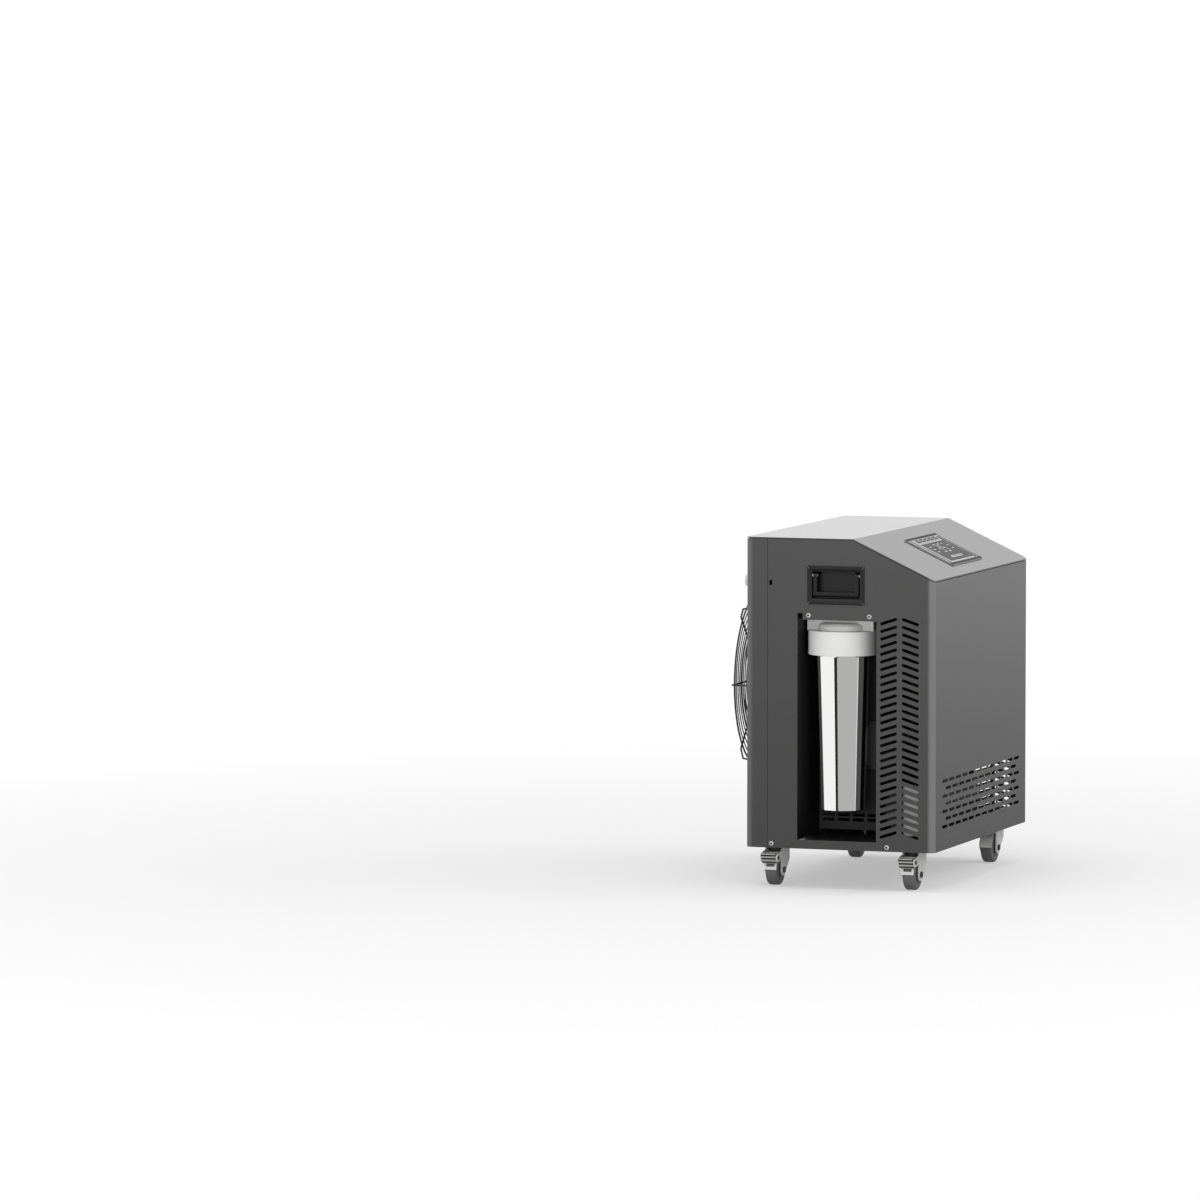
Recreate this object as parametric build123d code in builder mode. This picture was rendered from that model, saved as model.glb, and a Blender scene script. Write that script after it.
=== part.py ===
"""Ice bath chiller on casters: a sheet-metal case with a water filter bay in its left end,
a fan on its rear wall and a control panel on its sloping front.

Millimetres. +Z is up, the sloping front faces -Y, the filter bay is at the -X end.
The origin is on the floor, under the middle of the whole machine.
"""

import os
from math import cos, radians, sin, sqrt, tan

from build123d import *

os.makedirs("parts", exist_ok=True)

# Case
body_length = 530.0
body_depth = 320.0
body_height = 505.0
ground_clearance = 64.5
slope_run = 138.0
slope_angle = 25.0
corner_radius = 10.0
sheet = 1.5
cover_sheet = 1.6
cover_gap = 1.2
cover_rim_inset = 2.5
seam = 0.6
side_return = 37.0
fit_gap = 0.3
pan_sheet = 2.0
pan_flange = 12.0

# Casters
wheel_radius = 25.0
wheel_width = 20.0
wheel_shoulder = 4.5
hub_radius = 15.0
hub_proud = 0.6
axle_radius = 3.0
running_gap = 0.06
fork_clearance = 2.25
fork_sheet = 2.2
fork_top_gap = 2.0
crown_sheet = 2.2
crown_gap = 1.8
caster_trail = 6.0
stem_radius = 12.0
spindle_radius = 4.0
stem_inset_x = 45.4
stem_inset_front = 48.4
stem_inset_rear = 38.4
guard_gap = 2.0
guard_sheet = 1.5
pedal_pin_radius = 2.0
pedal_pin_reach = 4.0
pedal_pin_rise = 22.0

# Filter bay and filter
bay_from_front = 98.0
bay_width = 134.0
bay_bottom = 14.5
bay_top_drop = 132.3
bay_notch_width = 9.0
bay_notch_height = 10.6
bay_depth = 120.0
liner_sheet = 1.2
bracket_sheet = 2.5
bracket_flange = 20.0
bracket_screw_rise = 7.3
bracket_screw_insets = (12.0, 19.0)
filter_inset = 60.0
filter_offset = 7.5
head_radius = 57.5
head_height = 40.0
head_drop = 59.1
head_wall = 6.2
dome_radius = 42.0
dome_height = 12.5
dome_round = 9.0
port_block_width = 36.0
sump_top_radius = 42.5
sump_bottom_radius = 36.0
sump_bottom = 58.0
sump_wall = 3.0
collar_height = 17.0
thread_gap = 0.3
seal_radius = 46.0
seal_section = 1.75
cartridge_radius = 31.7
cartridge_top_gap = 2.6
cartridge_bore = 14.0
spigot_reach = 6.0
pump_offset = -25.0
pump_height = 160.0
pump_radius = 33.0

# Louvres and slots
slot_length = 30.0
slot_width = 5.0
louvre_rows = 29
louvre_pitch = 12.35
louvre_top = 373.2
louvre_from_front = 59.1
louvre_half_gap = 18.4
louvre_angle = 18.0
front_slot_pitch = 37.1
front_slot_rows = 7
front_slots = 12
front_slot_rise = 12.4
front_slot_bottom = 38.0

# Handles
handle_offset = 1.7
handle_drop = 75.5
handle_plate_width = 97.0
handle_plate_height = 63.0
handle_plate_edge = 2.0
handle_bevel = 4.5
handle_bevel_depth = 1.4
handle_recess_width = 81.0
handle_recess_height = 44.0
handle_recess_depth = 14.0
handle_wall = 1.8
handle_hole_gap = 3.7
pocket_width = 11.6
pocket_height = 5.0
bail_side_gap = 2.5
bail_foot_gap = 2.7
bail_arm = 5.5
bail_bar = 8.2
bail_thickness = 7.6
bail_pivot_drop = 6.5
bail_pivot_inset = 3.5
handle_pin_radius = 2.0

# Fan
fan_x = 0.0
fan_height = 252.5
guard_radius = 148.0
guard_height = 57.6
guard_ring_pitch = 9.0
guard_rings = 10
guard_wire = 1.0
guard_stout_wire = 1.5
guard_stout_ring = 4
guard_sink = 0.5
guard_corner_reach = 6.0
guard_rim_reach = 16.0
guard_foot_reach = 44.0
guard_foot_radius = 7.0
guard_foot_sheet = 2.0
guard_side_rings = (38.0, 19.0)
collar_wall = 4.0
collar_tall = 9.0
fan_opening_radius = 140.0
venturi_depth = 12.0
blade_tip_gap = 6.0
blade_count = 5
blade_pitch = 27.0
blade_sheet = 2.0
fan_hub_radius = 44.0
fan_hub_length = 26.0
fan_hub_gap = 4.0
motor_radius = 46.0
motor_length = 40.0
motor_stand_off = 22.0
motor_cap = 6.0
motor_shaft_radius = 4.0

# Control panel on the slope
panel_up_slope = 73.0
panel_width = 165.0
panel_height = 92.0
panel_plate = 2.0
skirt_side_margin = 7.5
skirt_end_margin = 3.0
skirt_depth = 14.0
skirt_wall = 2.0
window_side_margin = 21.5
window_foot_margin = 11.0
window_key_gap = 5.5
window_sheet = 1.6
key_count = 5
key_pitch = 23.0
key_width = 15.0
key_height = 9.0
key_margin = 13.0
key_gap = 0.3
key_proud = 0.5
key_travel = 0.8
board_sheet = 1.6

# Rear fittings
port_height = 430.0
port_insets = (60.0, 120.0)
port_radius = 9.5
port_bore = 6.0
port_bore_depth = 14.5
port_stub = 6.0
port_length = 18.0
port_flange_radius = 15.0
port_flange = 4.0
inlet_inset = 65.0
inlet_height = 90.0
inlet_width = 50.0
inlet_tall = 62.0
rocker_width = 20.0
rocker_height = 13.0
rocker_tilt = 11.0
rocker_sink = 2.8
rocker_pin_radius = 1.5
rocker_pin_length = 2.0
vent_inset = 53.0
vent_height = 350.0
vent_rows = 6

# Cooling circuit and water circuit
condenser_length = 284.0
condenser_depth = 25.0
condenser_foot = 14.0
condenser_top = 395.0
condenser_from_rear = 22.0
compressor_inset = 100.0
compressor_from_rear = 150.0
compressor_radius = 70.0
compressor_height = 190.0
compressor_round = 28.0
compressor_shell = 4.0
compressor_foot = 12.0
compressor_foot_radius = 10.0
exchanger_radius = 42.0
exchanger_from_front = 48.0
exchanger_height = 66.0
exchanger_inset = 13.0
exchanger_clearance = 75.0
saddle_inset = 70.0
saddle_width = 20.0
saddle_depth = 56.0
pipe_radius = 4.0
riser_offset = 25.0
riser_height = 40.0
liquid_offset = 26.0
liquid_rise = 90.0
drier_radius = 11.0
drier_length = 80.0
hose_radius = 7.0
hose_collar = 3.0

# Fasteners
screw_radius = 2.0
screw_head_radius = 4.4
screw_head_height = 2.6
screw_length = 8.0
low_screw_from_front = 79.5
low_screw_from_rear = 44.4
low_screw_height = 7.0
cord_hole_from_rear = 42.5
cord_hole_height = 431.5
cord_hole_size = (9.0, 5.0)

# Places that follow from the sizes above
fan_reach = motor_stand_off + motor_length + motor_cap
mid_y = -fan_reach / 2
x_left = -body_length / 2
x_right = body_length / 2
y_front = mid_y - body_depth / 2
y_rear = mid_y + body_depth / 2
y_fold = y_front + slope_run
z_base = ground_clearance
z_top = z_base + body_height
slope = radians(slope_angle)
z_front = z_top - slope_run * tan(slope)
cover_drop = cover_sheet + cover_gap
pan_top = z_base + pan_sheet
sheet_inner = x_left + sheet
bay_top = body_height - bay_top_drop
head_bottom = bay_top - head_drop
cartridge_length = head_bottom - cartridge_top_gap - sump_bottom - sump_wall
fork_gap = wheel_width / 2 + fork_clearance
port_x = (x_left + port_insets[0], x_left + port_insets[1])
skirt_width = panel_width - 2 * skirt_side_margin
skirt_height = panel_height - 2 * skirt_end_margin
key_shift = panel_height / 2 - key_margin
window_width = panel_width - 2 * window_side_margin
window_ends = (window_foot_margin - panel_height / 2, key_shift - key_height / 2 - window_key_gap)
window_height = window_ends[1] - window_ends[0]
window_shift = (window_ends[0] + window_ends[1]) / 2
inlet_x = x_right - inlet_inset
compressor_x = x_right - compressor_inset


def save(node, name):
    """Label a finished piece and write it to its own file."""
    node.part.label = name
    export_step(node.part, f"parts/{name}.step")


def block(x, y, z, mode=Mode.ADD):
    """A box between two x, two y and two z values, in the part being made."""
    with Locations(((x[0] + x[1]) / 2, (y[0] + y[1]) / 2, (z[0] + z[1]) / 2)):
        Box(x[1] - x[0], y[1] - y[0], z[1] - z[0], mode=mode)


def disc(plane, radius, length, mode=Mode.ADD):
    """A round bar of the given length that starts on a plane, about the plane's own normal."""
    with BuildSketch(plane) as section:
        Circle(radius)
    extrude(section.sketch, amount=length, mode=mode)


def facing_rear(x, y, z):
    """Plane whose normal points to the rear."""
    return Plane(origin=(x, y, z), x_dir=(-1, 0, 0), z_dir=(0, 1, 0))


def facing_left(x, y, z):
    """Plane whose normal points away from the left end."""
    return Plane(origin=(x, y, z), x_dir=(0, -1, 0), z_dir=(-1, 0, 0))


def facing_right(x, y, z):
    """Plane whose normal points away from the right end."""
    return Plane(origin=(x, y, z), x_dir=(0, 1, 0), z_dir=(1, 0, 0))


def facing_up(x, y, z):
    """Level plane at a point."""
    return Plane(origin=(x, y, z), x_dir=(1, 0, 0), z_dir=(0, 0, 1))


def top_line(y, drop):
    """Height of the case's top at depth y, lowered square to itself by drop."""
    flat = z_top - drop
    sloped = z_top - (y_fold - y) * tan(slope) - drop / cos(slope)
    return min(flat, sloped)


def case_block(inset, drop, bottom):
    """The whole case as one solid, drawn in on its sides and lowered on its top."""
    fold = y_fold + drop * tan(slope / 2)
    front, rear = y_front - 1, y_rear + 1
    with BuildPart() as solid:
        with BuildSketch(Plane.XY.offset(bottom)):
            with Locations((0, mid_y)):
                RectangleRounded(
                    body_length - 2 * inset, body_depth - 2 * inset, max(corner_radius - inset, 0.5)
                )
        extrude(amount=z_top - bottom)
        with BuildSketch(Plane.YZ.offset(x_left)):
            with BuildLine():
                Polyline(
                    (front, bottom),
                    (front, top_line(front, drop)),
                    (fold, z_top - drop),
                    (rear, z_top - drop),
                    (rear, bottom),
                    close=True,
                )
            make_face()
        extrude(amount=body_length, mode=Mode.INTERSECT)
    return solid.part


outer_block = case_block(0, cover_drop, z_base)
inner_block = case_block(sheet, cover_drop + sheet, z_base - 1)
flange_hole = case_block(corner_radius, 0, z_base - 1)

# Folded walls all round, with a narrow flange under the cover, before they are parted at the seams
with BuildPart() as walls:
    add(outer_block)
    add(inner_block, mode=Mode.SUBTRACT)
    add(flange_hole, mode=Mode.SUBTRACT)

rear_seam = y_rear - side_return
all_z = (z_base - 5, z_top + 5)

# Where things stand in the left end
bay_y = (y_front + bay_from_front, y_front + bay_from_front + bay_width)
bay_mid_y = (bay_y[0] + bay_y[1]) / 2
filter_x = x_left + filter_inset
filter_y = bay_mid_y + filter_offset
handle_y = bay_mid_y + handle_offset
handle_z = z_top - handle_drop
bracket_z = z_base + bay_top + fit_gap
bracket_screw_z = z_base + bay_top + bracket_screw_rise
bracket_screw_y = (bay_y[0] + bracket_screw_insets[0], bay_y[1] - bracket_screw_insets[1])
low_screw_y = (y_front + low_screw_from_front, y_rear - low_screw_from_rear)
low_screw_z = z_base + low_screw_height


def louvres(plane):
    """Chevron rows of louvre slots on a plane that looks along X."""
    slant = louvre_angle if plane.z_dir.X > 0 else -louvre_angle
    side = 1 if plane.z_dir.X > 0 else -1
    with BuildSketch(plane) as slots:
        for row in range(louvre_rows):
            z = z_base + louvre_top - row * louvre_pitch
            for half in (-1, 1):
                y = y_front + louvre_from_front + half * louvre_half_gap
                with Locations((side * y, z)):
                    SlotOverall(slot_length, slot_width, rotation=-half * slant)
    return slots.sketch


for side, name in ((-1, "left_end_panel"), (1, "right_end_panel")):
    wall_x = side * body_length / 2
    outward = Plane(origin=(wall_x, 0, 0), x_dir=(0, side, 0), z_dir=(side, 0, 0))
    inward_cut = -sheet - 1
    with BuildPart() as end_panel:
        add(walls.part)
        span = sorted((wall_x + side, wall_x - side * corner_radius))
        block(span, (y_front - 1, rear_seam - seam), all_z, mode=Mode.INTERSECT)
        extrude(louvres(outward), amount=inward_cut, mode=Mode.SUBTRACT)
        hole_width = handle_recess_width + 2 * (handle_wall + handle_hole_gap)
        hole_height = handle_recess_height + 2 * (handle_wall + handle_hole_gap)
        with BuildSketch(outward):
            with Locations((side * handle_y, handle_z)):
                Rectangle(hole_width, hole_height)
            for y in low_screw_y:
                with Locations((side * y, low_screw_z)):
                    Circle(screw_radius + running_gap)
            with Locations((side * (y_rear - cord_hole_from_rear), z_base + cord_hole_height)):
                SlotOverall(*cord_hole_size, rotation=90)
        extrude(amount=inward_cut, mode=Mode.SUBTRACT)
        if side < 0:
            mouth_x = (x_left - 1, x_left + sheet + 1)
            block(mouth_x, bay_y, (z_base + bay_bottom, z_base + bay_top), mode=Mode.SUBTRACT)
            notch_z = (z_base + bay_top - 1, z_base + bay_top + bay_notch_height)
            block(mouth_x, (bay_y[1] - bay_notch_width, bay_y[1]), notch_z, mode=Mode.SUBTRACT)
            with BuildSketch(outward):
                for y in bracket_screw_y:
                    with Locations((side * y, bracket_screw_z)):
                        Circle(screw_radius + running_gap)
            extrude(amount=inward_cut, mode=Mode.SUBTRACT)
    save(end_panel, name)

with BuildPart() as front_panel:
    add(walls.part)
    front_edge = x_right - corner_radius - seam
    front_y = (y_front - 1, y_front + corner_radius)
    block((-front_edge, front_edge), front_y, all_z, mode=Mode.INTERSECT)
    with BuildSketch(Plane.XZ.offset(-y_front)):
        for row in range(front_slot_rows):
            count = front_slots - row % 2
            z = z_base + front_slot_bottom + row * front_slot_rise
            with Locations((0, z)):
                with GridLocations(front_slot_pitch, 1, count, 1):
                    SlotOverall(slot_length, slot_width)
    extrude(amount=-sheet - 1, mode=Mode.SUBTRACT)
save(front_panel, "front_panel")

fan_z = z_base + fan_height
foot_offset = (guard_radius + guard_foot_reach) * sqrt(0.5)
guard_feet = [(fan_x + a * foot_offset, fan_z + b * foot_offset) for a in (-1, 1) for b in (-1, 1)]
with BuildPart() as rear_panel:
    add(walls.part)
    block((x_left - 1, x_right + 1), (rear_seam, y_rear + 1), all_z, mode=Mode.INTERSECT)
    disc(facing_rear(fan_x, y_rear - venturi_depth, fan_z), fan_opening_radius + sheet, venturi_depth)
    fan_hole = facing_rear(fan_x, y_rear - venturi_depth - 1, fan_z)
    disc(fan_hole, fan_opening_radius, venturi_depth + 2, Mode.SUBTRACT)
    for x, z in guard_feet:
        foot_hole = facing_rear(x, y_rear - sheet - 1, z)
        disc(foot_hole, screw_radius + running_gap, sheet + 2, Mode.SUBTRACT)
    for x in port_x:
        port_hole = facing_rear(x, y_rear - sheet - 1, z_base + port_height)
        disc(port_hole, port_radius + running_gap, sheet + 2, Mode.SUBTRACT)
    with BuildSketch(Plane.XZ.offset(-y_rear + sheet + 1)):
        with Locations((inlet_x, z_base + inlet_height)):
            Rectangle(inlet_width - 8, inlet_tall - 8)
        with Locations((x_right - vent_inset, z_base + vent_height)):
            with GridLocations(front_slot_pitch, front_slot_rise, 2, vent_rows):
                SlotOverall(slot_length, slot_width)
    extrude(amount=-sheet - 2, mode=Mode.SUBTRACT)
save(rear_panel, "rear_panel")

# Cover: one folded sheet over the whole top, with a seat rim under its edge
with BuildPart() as top_cover:
    add(case_block(0, 0, z_base))
    add(case_block(-1, cover_sheet, z_base - 1), mode=Mode.SUBTRACT)
with BuildPart() as cover_rim:
    add(case_block(cover_rim_inset, cover_sheet, z_base))
    add(case_block(0, cover_drop, z_base - 1), mode=Mode.SUBTRACT)
    add(flange_hole, mode=Mode.SUBTRACT)

panel_plane = Plane(
    origin=(0, y_front + panel_up_slope * cos(slope), z_front + panel_up_slope * sin(slope)),
    x_dir=(1, 0, 0),
    z_dir=(0, -sin(slope), cos(slope)),
)
with BuildPart() as finished_cover:
    add(top_cover.part)
    add(cover_rim.part)
    with BuildSketch(panel_plane):
        Rectangle(skirt_width + 2 * fit_gap, skirt_height + 2 * fit_gap)
    extrude(amount=-cover_sheet - 3, mode=Mode.SUBTRACT)
save(finished_cover, "top_cover")

# Base pan: a tray inside the foot of the walls
stem_y = (y_front + stem_inset_front, y_rear - stem_inset_rear)
stem_x = (x_left + stem_inset_x, x_right - stem_inset_x)
with BuildPart() as base_pan:
    pan_inset = sheet + fit_gap
    with BuildSketch(Plane.XY.offset(z_base)):
        with Locations((0, mid_y)):
            RectangleRounded(
                body_length - 2 * pan_inset, body_depth - 2 * pan_inset, corner_radius - pan_inset
            )
    extrude(amount=pan_flange)
    with BuildSketch(Plane.XY.offset(pan_top)):
        with Locations((0, mid_y)):
            RectangleRounded(
                body_length - 2 * (pan_inset + sheet),
                body_depth - 2 * (pan_inset + sheet),
                corner_radius - pan_inset - sheet,
            )
    extrude(amount=pan_flange, mode=Mode.SUBTRACT)
    with BuildSketch(Plane.XY.offset(z_base)):
        for x in stem_x:
            for y in stem_y:
                with Locations((x, y)):
                    Circle(spindle_radius + 1 + running_gap)
    extrude(amount=pan_sheet, mode=Mode.SUBTRACT)
    for side in (-1, 1):
        for y in low_screw_y:
            start = facing_right(side * body_length / 2, y, low_screw_z)
            disc(start, screw_radius + running_gap, -side * screw_length, Mode.SUBTRACT)
save(base_pan, "base_pan")

# Filter bay: a liner of bent sheet, open to the left, under a steel bracket
liner_z = (z_base + bay_bottom - liner_sheet, bracket_z)
liner_back = x_left + bay_depth
gap_height = 6.5
liner_slot_heights = (37.0, 45.0)
liner_slot_pitch = 25.6
liner_slot = 21.5
hose_hole_radius = hose_radius + 2.5
filter_port_z = z_base + head_bottom + head_height + dome_height * 0.65
pump_y = bay_mid_y + pump_offset
pump_z = z_base + pump_height
liner_y = (bay_y[0] - liner_sheet - 2, bay_y[1] + liner_sheet)
with BuildPart() as filter_bay_liner:
    block((sheet_inner, liner_back + liner_sheet), liner_y, liner_z)
    inside_y = (liner_y[0] + liner_sheet, liner_y[1] - liner_sheet)
    inside_z = (liner_z[0] + liner_sheet, liner_z[1] + 1)
    block((sheet_inner - 1, liner_back), inside_y, inside_z, mode=Mode.SUBTRACT)
    gap_z = (inside_z[0], inside_z[0] + gap_height)
    block((liner_back - 1, liner_back + liner_sheet + 1), inside_y, gap_z, mode=Mode.SUBTRACT)
    with BuildSketch(facing_right(liner_back - 1, 0, 0)):
        for height in liner_slot_heights:
            with Locations((bay_mid_y, z_base + height)):
                with GridLocations(liner_slot_pitch, 1, 5, 1):
                    SlotOverall(liner_slot, slot_width)
        with Locations((pump_y, pump_z)):
            Circle(pump_radius + fit_gap)
    extrude(amount=liner_sheet + 2, mode=Mode.SUBTRACT)
    hose_hole = facing_rear(filter_x, liner_y[0] - 1, filter_port_z)
    disc(hose_hole, hose_hole_radius, liner_y[1] - liner_y[0] + 2, Mode.SUBTRACT)
save(filter_bay_liner, "filter_bay_liner")

with BuildPart() as filter_bracket:
    shelf_z = (bracket_z, bracket_z + bracket_sheet)
    shelf_x = (sheet_inner, liner_back + liner_sheet)
    block(shelf_x, liner_y, shelf_z)
    flange_y = (bracket_screw_y[0] - bracket_screw_rise, bracket_screw_y[1] + bracket_screw_rise)
    block((sheet_inner, sheet_inner + bracket_sheet), flange_y, (bracket_z, bracket_z + bracket_flange))
    for y in bracket_screw_y:
        start = facing_right(sheet_inner - 1, y, bracket_screw_z)
        disc(start, screw_radius + running_gap, bracket_sheet + 2, Mode.SUBTRACT)
save(filter_bracket, "filter_bracket")

# Filter head: cap, dome and the block that holds both ports
head_z = z_base + head_bottom
head_top = head_z + head_height
collar_bottom = head_z + 0.6
collar_top = collar_bottom + collar_height
ceiling = collar_top + seal_section + thread_gap + 0.2
collar_radius = head_radius - head_wall
sump_z = z_base + sump_bottom
cartridge_z = sump_z + sump_wall
with BuildPart() as filter_head:
    disc(facing_up(filter_x, filter_y, head_z), head_radius, head_height)
    fillet(filter_head.edges().filter_by(GeomType.CIRCLE), 1.5)
    disc(facing_up(filter_x, filter_y, head_top - 1), dome_radius, dome_height + 1)
    dome_edge = filter_head.edges().filter_by(GeomType.CIRCLE).sort_by(Axis.Z)[-1]
    fillet(dome_edge, dome_round)
    half_block = port_block_width / 2
    block(
        (filter_x - half_block, filter_x + half_block),
        (filter_y - head_radius + 1.5, filter_y + head_radius - 1.5),
        (head_top - 1, bracket_z),
    )
    disc(facing_up(filter_x, filter_y, head_z - 1), collar_radius, ceiling - head_z + 1, Mode.SUBTRACT)
    spigot_z = cartridge_z + cartridge_length - spigot_reach
    disc(facing_up(filter_x, filter_y, spigot_z), cartridge_bore - fit_gap, ceiling - spigot_z)
save(filter_head, "filter_head")

filter_plane = Plane(origin=(filter_x, filter_y, 0), x_dir=(1, 0, 0), z_dir=(0, -1, 0))
filter_axis = Axis((filter_x, filter_y, 0), (0, 0, 1))
with BuildPart() as filter_sump:
    with BuildSketch(filter_plane):
        with BuildLine():
            Polyline(
                (0, sump_z),
                (sump_bottom_radius - 3, sump_z),
                (sump_bottom_radius, sump_z + 3),
                (sump_top_radius, collar_bottom - 3),
                (collar_radius - thread_gap - 4, collar_bottom),
                (collar_radius - thread_gap, collar_bottom),
                (collar_radius - thread_gap, collar_top),
                (sump_top_radius - sump_wall, collar_top),
                (sump_top_radius - sump_wall, collar_bottom),
                (sump_bottom_radius - sump_wall, sump_z + sump_wall),
                (0, sump_z + sump_wall),
                close=True,
            )
        make_face()
        with Locations((seal_radius, collar_top)):
            Circle(seal_section + thread_gap, mode=Mode.SUBTRACT)
    revolve(axis=filter_axis)
save(filter_sump, "filter_sump")

with BuildPart() as sump_seal:
    with BuildSketch(filter_plane):
        with Locations((seal_radius, collar_top)):
            Circle(seal_section)
    revolve(axis=filter_axis)
save(sump_seal, "sump_seal")

with BuildPart() as filter_cartridge:
    disc(facing_up(filter_x, filter_y, cartridge_z), cartridge_radius, cartridge_length)
    core = facing_up(filter_x, filter_y, cartridge_z - 1)
    disc(core, cartridge_bore, cartridge_length + 2, Mode.SUBTRACT)
save(filter_cartridge, "filter_cartridge")

# Circulation pump: its round face shows through the back of the bay
pump_face = 4.0
pump_volute = 30.0
pump_motor = 55.0
pump_inlet_z = pump_z + 12
pump_port_x = liner_back + 16
with BuildPart() as water_pump:
    disc(facing_right(liner_back - pump_face, pump_y, pump_z), pump_radius, pump_face + pump_volute)
    disc(facing_right(liner_back + pump_volute, pump_y, pump_z), pump_radius - 6, pump_motor)
    disc(facing_right(liner_back - pump_face - 1, pump_y, pump_z), pump_radius - 9, 3, Mode.SUBTRACT)
    ear_x = (liner_back - 2.5, liner_back)
    for way in (-1, 1):
        low_z, high_z = sorted((pump_z + way * (pump_radius - 6), pump_z + way * (pump_radius + 6)))
        block(ear_x, (pump_y - 6, pump_y + 6), (low_z, high_z))
    inlet_start = Plane(origin=(pump_port_x, pump_y, pump_inlet_z), x_dir=(1, 0, 0), z_dir=(0, -1, 0))
    disc(inlet_start, hose_radius + 2, pump_radius)
    outlet_start = Plane(origin=(pump_port_x, pump_y, pump_z), x_dir=(1, 0, 0), z_dir=(0, 0, -1))
    disc(outlet_start, hose_radius + 2, pump_radius + 4)
save(water_pump, "water_pump")

# Handles: a plate with a tub in each end panel, and a bail that folds out
bail_width = handle_recess_width - 2 * bail_side_gap
bail_length = handle_recess_height - bail_pivot_drop - bail_foot_gap
pivot_x = x_left + bail_pivot_inset
pivot_z = handle_z + handle_recess_height / 2 - bail_pivot_drop
recess_y = (handle_y - handle_recess_width / 2, handle_y + handle_recess_width / 2)
recess_z = (handle_z - handle_recess_height / 2, handle_z + handle_recess_height / 2)
with BuildPart() as handle_plates:
    with BuildSketch(facing_left(x_left, handle_y, handle_z)):
        RectangleRounded(handle_plate_width, handle_plate_height, 3)
    extrude(amount=handle_plate_edge)
    rim_edges = handle_plates.faces().sort_by(Axis.X)[0].edges()
    chamfer(rim_edges, 1.2)
    tub_x = (x_left, x_left + handle_recess_depth + handle_wall)
    tub_y = (recess_y[0] - handle_wall, recess_y[1] + handle_wall)
    tub_z = (recess_z[0] - handle_wall, recess_z[1] + handle_wall)
    block(tub_x, tub_y, tub_z)
    block((x_left - 5, x_left + handle_recess_depth), recess_y, recess_z, mode=Mode.SUBTRACT)
    plate_face = handle_plates.faces().sort_by(Axis.X)[0]
    mouth_edges = plate_face.inner_wires()[0].edges()
    chamfer(mouth_edges, handle_bevel, handle_bevel_depth, reference=plate_face)
    back_x = (x_left + handle_recess_depth - 1, tub_x[1] + 1)
    pocket_z = (recess_z[1] - pocket_height, recess_z[1])
    for start in (recess_y[0], recess_y[1] - pocket_width):
        block(back_x, (start, start + pocket_width), pocket_z, mode=Mode.SUBTRACT)
    pin_hole = facing_rear(pivot_x, tub_y[0] - 1, pivot_z)
    disc(pin_hole, handle_pin_radius + 0.02, tub_y[1] - tub_y[0] + 2, Mode.SUBTRACT)
    mirror(about=Plane.YZ)
save(handle_plates, "handle_plates")

with BuildPart() as left_bail:
    with BuildSketch(facing_left(pivot_x - bail_thickness / 2, handle_y, pivot_z)):
        with Locations((0, (bail_thickness / 2 - bail_length) / 2)):
            Rectangle(bail_width, bail_length + bail_thickness / 2)
        gap_length = bail_length + bail_thickness / 2 - bail_bar + 2
        with Locations((0, (bail_thickness / 2 - bail_length + bail_bar) / 2 + 1)):
            Rectangle(bail_width - 2 * bail_arm, gap_length, mode=Mode.SUBTRACT)
    extrude(amount=-bail_thickness)
    with BuildSketch(facing_rear(pivot_x, handle_y - bail_width / 2, pivot_z)):
        with Locations((0, (bail_thickness / 2 - bail_length) / 2)):
            SlotOverall(bail_length + bail_thickness / 2, bail_thickness, rotation=90)
    extrude(amount=bail_width, mode=Mode.INTERSECT)
    bore = facing_rear(pivot_x, handle_y - bail_width / 2 - 1, pivot_z)
    disc(bore, handle_pin_radius + running_gap, bail_width + 2, Mode.SUBTRACT)
save(left_bail, "left_handle_bail")

with BuildPart() as right_bail:
    mirror(left_bail.part, about=Plane.YZ)
save(right_bail, "right_handle_bail")

with BuildPart() as handle_pins:
    pin_length = (tub_y[1] - tub_y[0] - bail_width) / 2 + bail_arm
    disc(facing_rear(pivot_x, tub_y[0], pivot_z), handle_pin_radius, pin_length)
    disc(facing_rear(pivot_x, tub_y[1] - pin_length, pivot_z), handle_pin_radius, pin_length)
    mirror(about=Plane.YZ)
save(handle_pins, "handle_pins")

# Fan guard: flat rings of wire under eight stout wires. Four bend to a rim on the wall and four
# run on to feet. The collar in the middle carries the motor.
ring_radii = [guard_radius - number * guard_ring_pitch for number in range(guard_rings + 1)]
stay_bottom = guard_height + guard_wire - guard_sink
stay_top = stay_bottom + 2 * guard_stout_wire
corner_reach = guard_radius + guard_corner_reach
rim_reach = guard_radius + guard_rim_reach
foot_reach = guard_radius + guard_foot_reach
stay_width = 2 * guard_stout_wire
stay_end = foot_reach - screw_head_radius - 0.8
collar_inner = motor_radius + collar_wall / 2
guard_plane = facing_rear(fan_x, y_rear, fan_z)
with BuildPart() as guard_hoops:
    with BuildSketch(Plane(origin=guard_plane.origin, x_dir=(1, 0, 0), z_dir=(0, 0, 1))):
        for number, radius in enumerate(ring_radii):
            half = guard_wire if number % guard_stout_ring else guard_stout_wire
            with Locations((radius, guard_height)):
                Rectangle(2 * half, 2 * half)
        for rise in guard_side_rings:
            lean = (corner_reach - rim_reach) * rise / stay_bottom
            with Locations((rim_reach + lean - stay_width - guard_wire + guard_sink, rise)):
                Rectangle(2 * guard_wire, 2 * guard_wire)
        with Locations((rim_reach - stay_width / 2, stay_width / 2)):
            Rectangle(stay_width, stay_width)
        with Locations((collar_inner, guard_height)):
            Rectangle(collar_wall, collar_tall)
    revolve(axis=Axis(guard_plane.origin, (0, 1, 0)))

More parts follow.
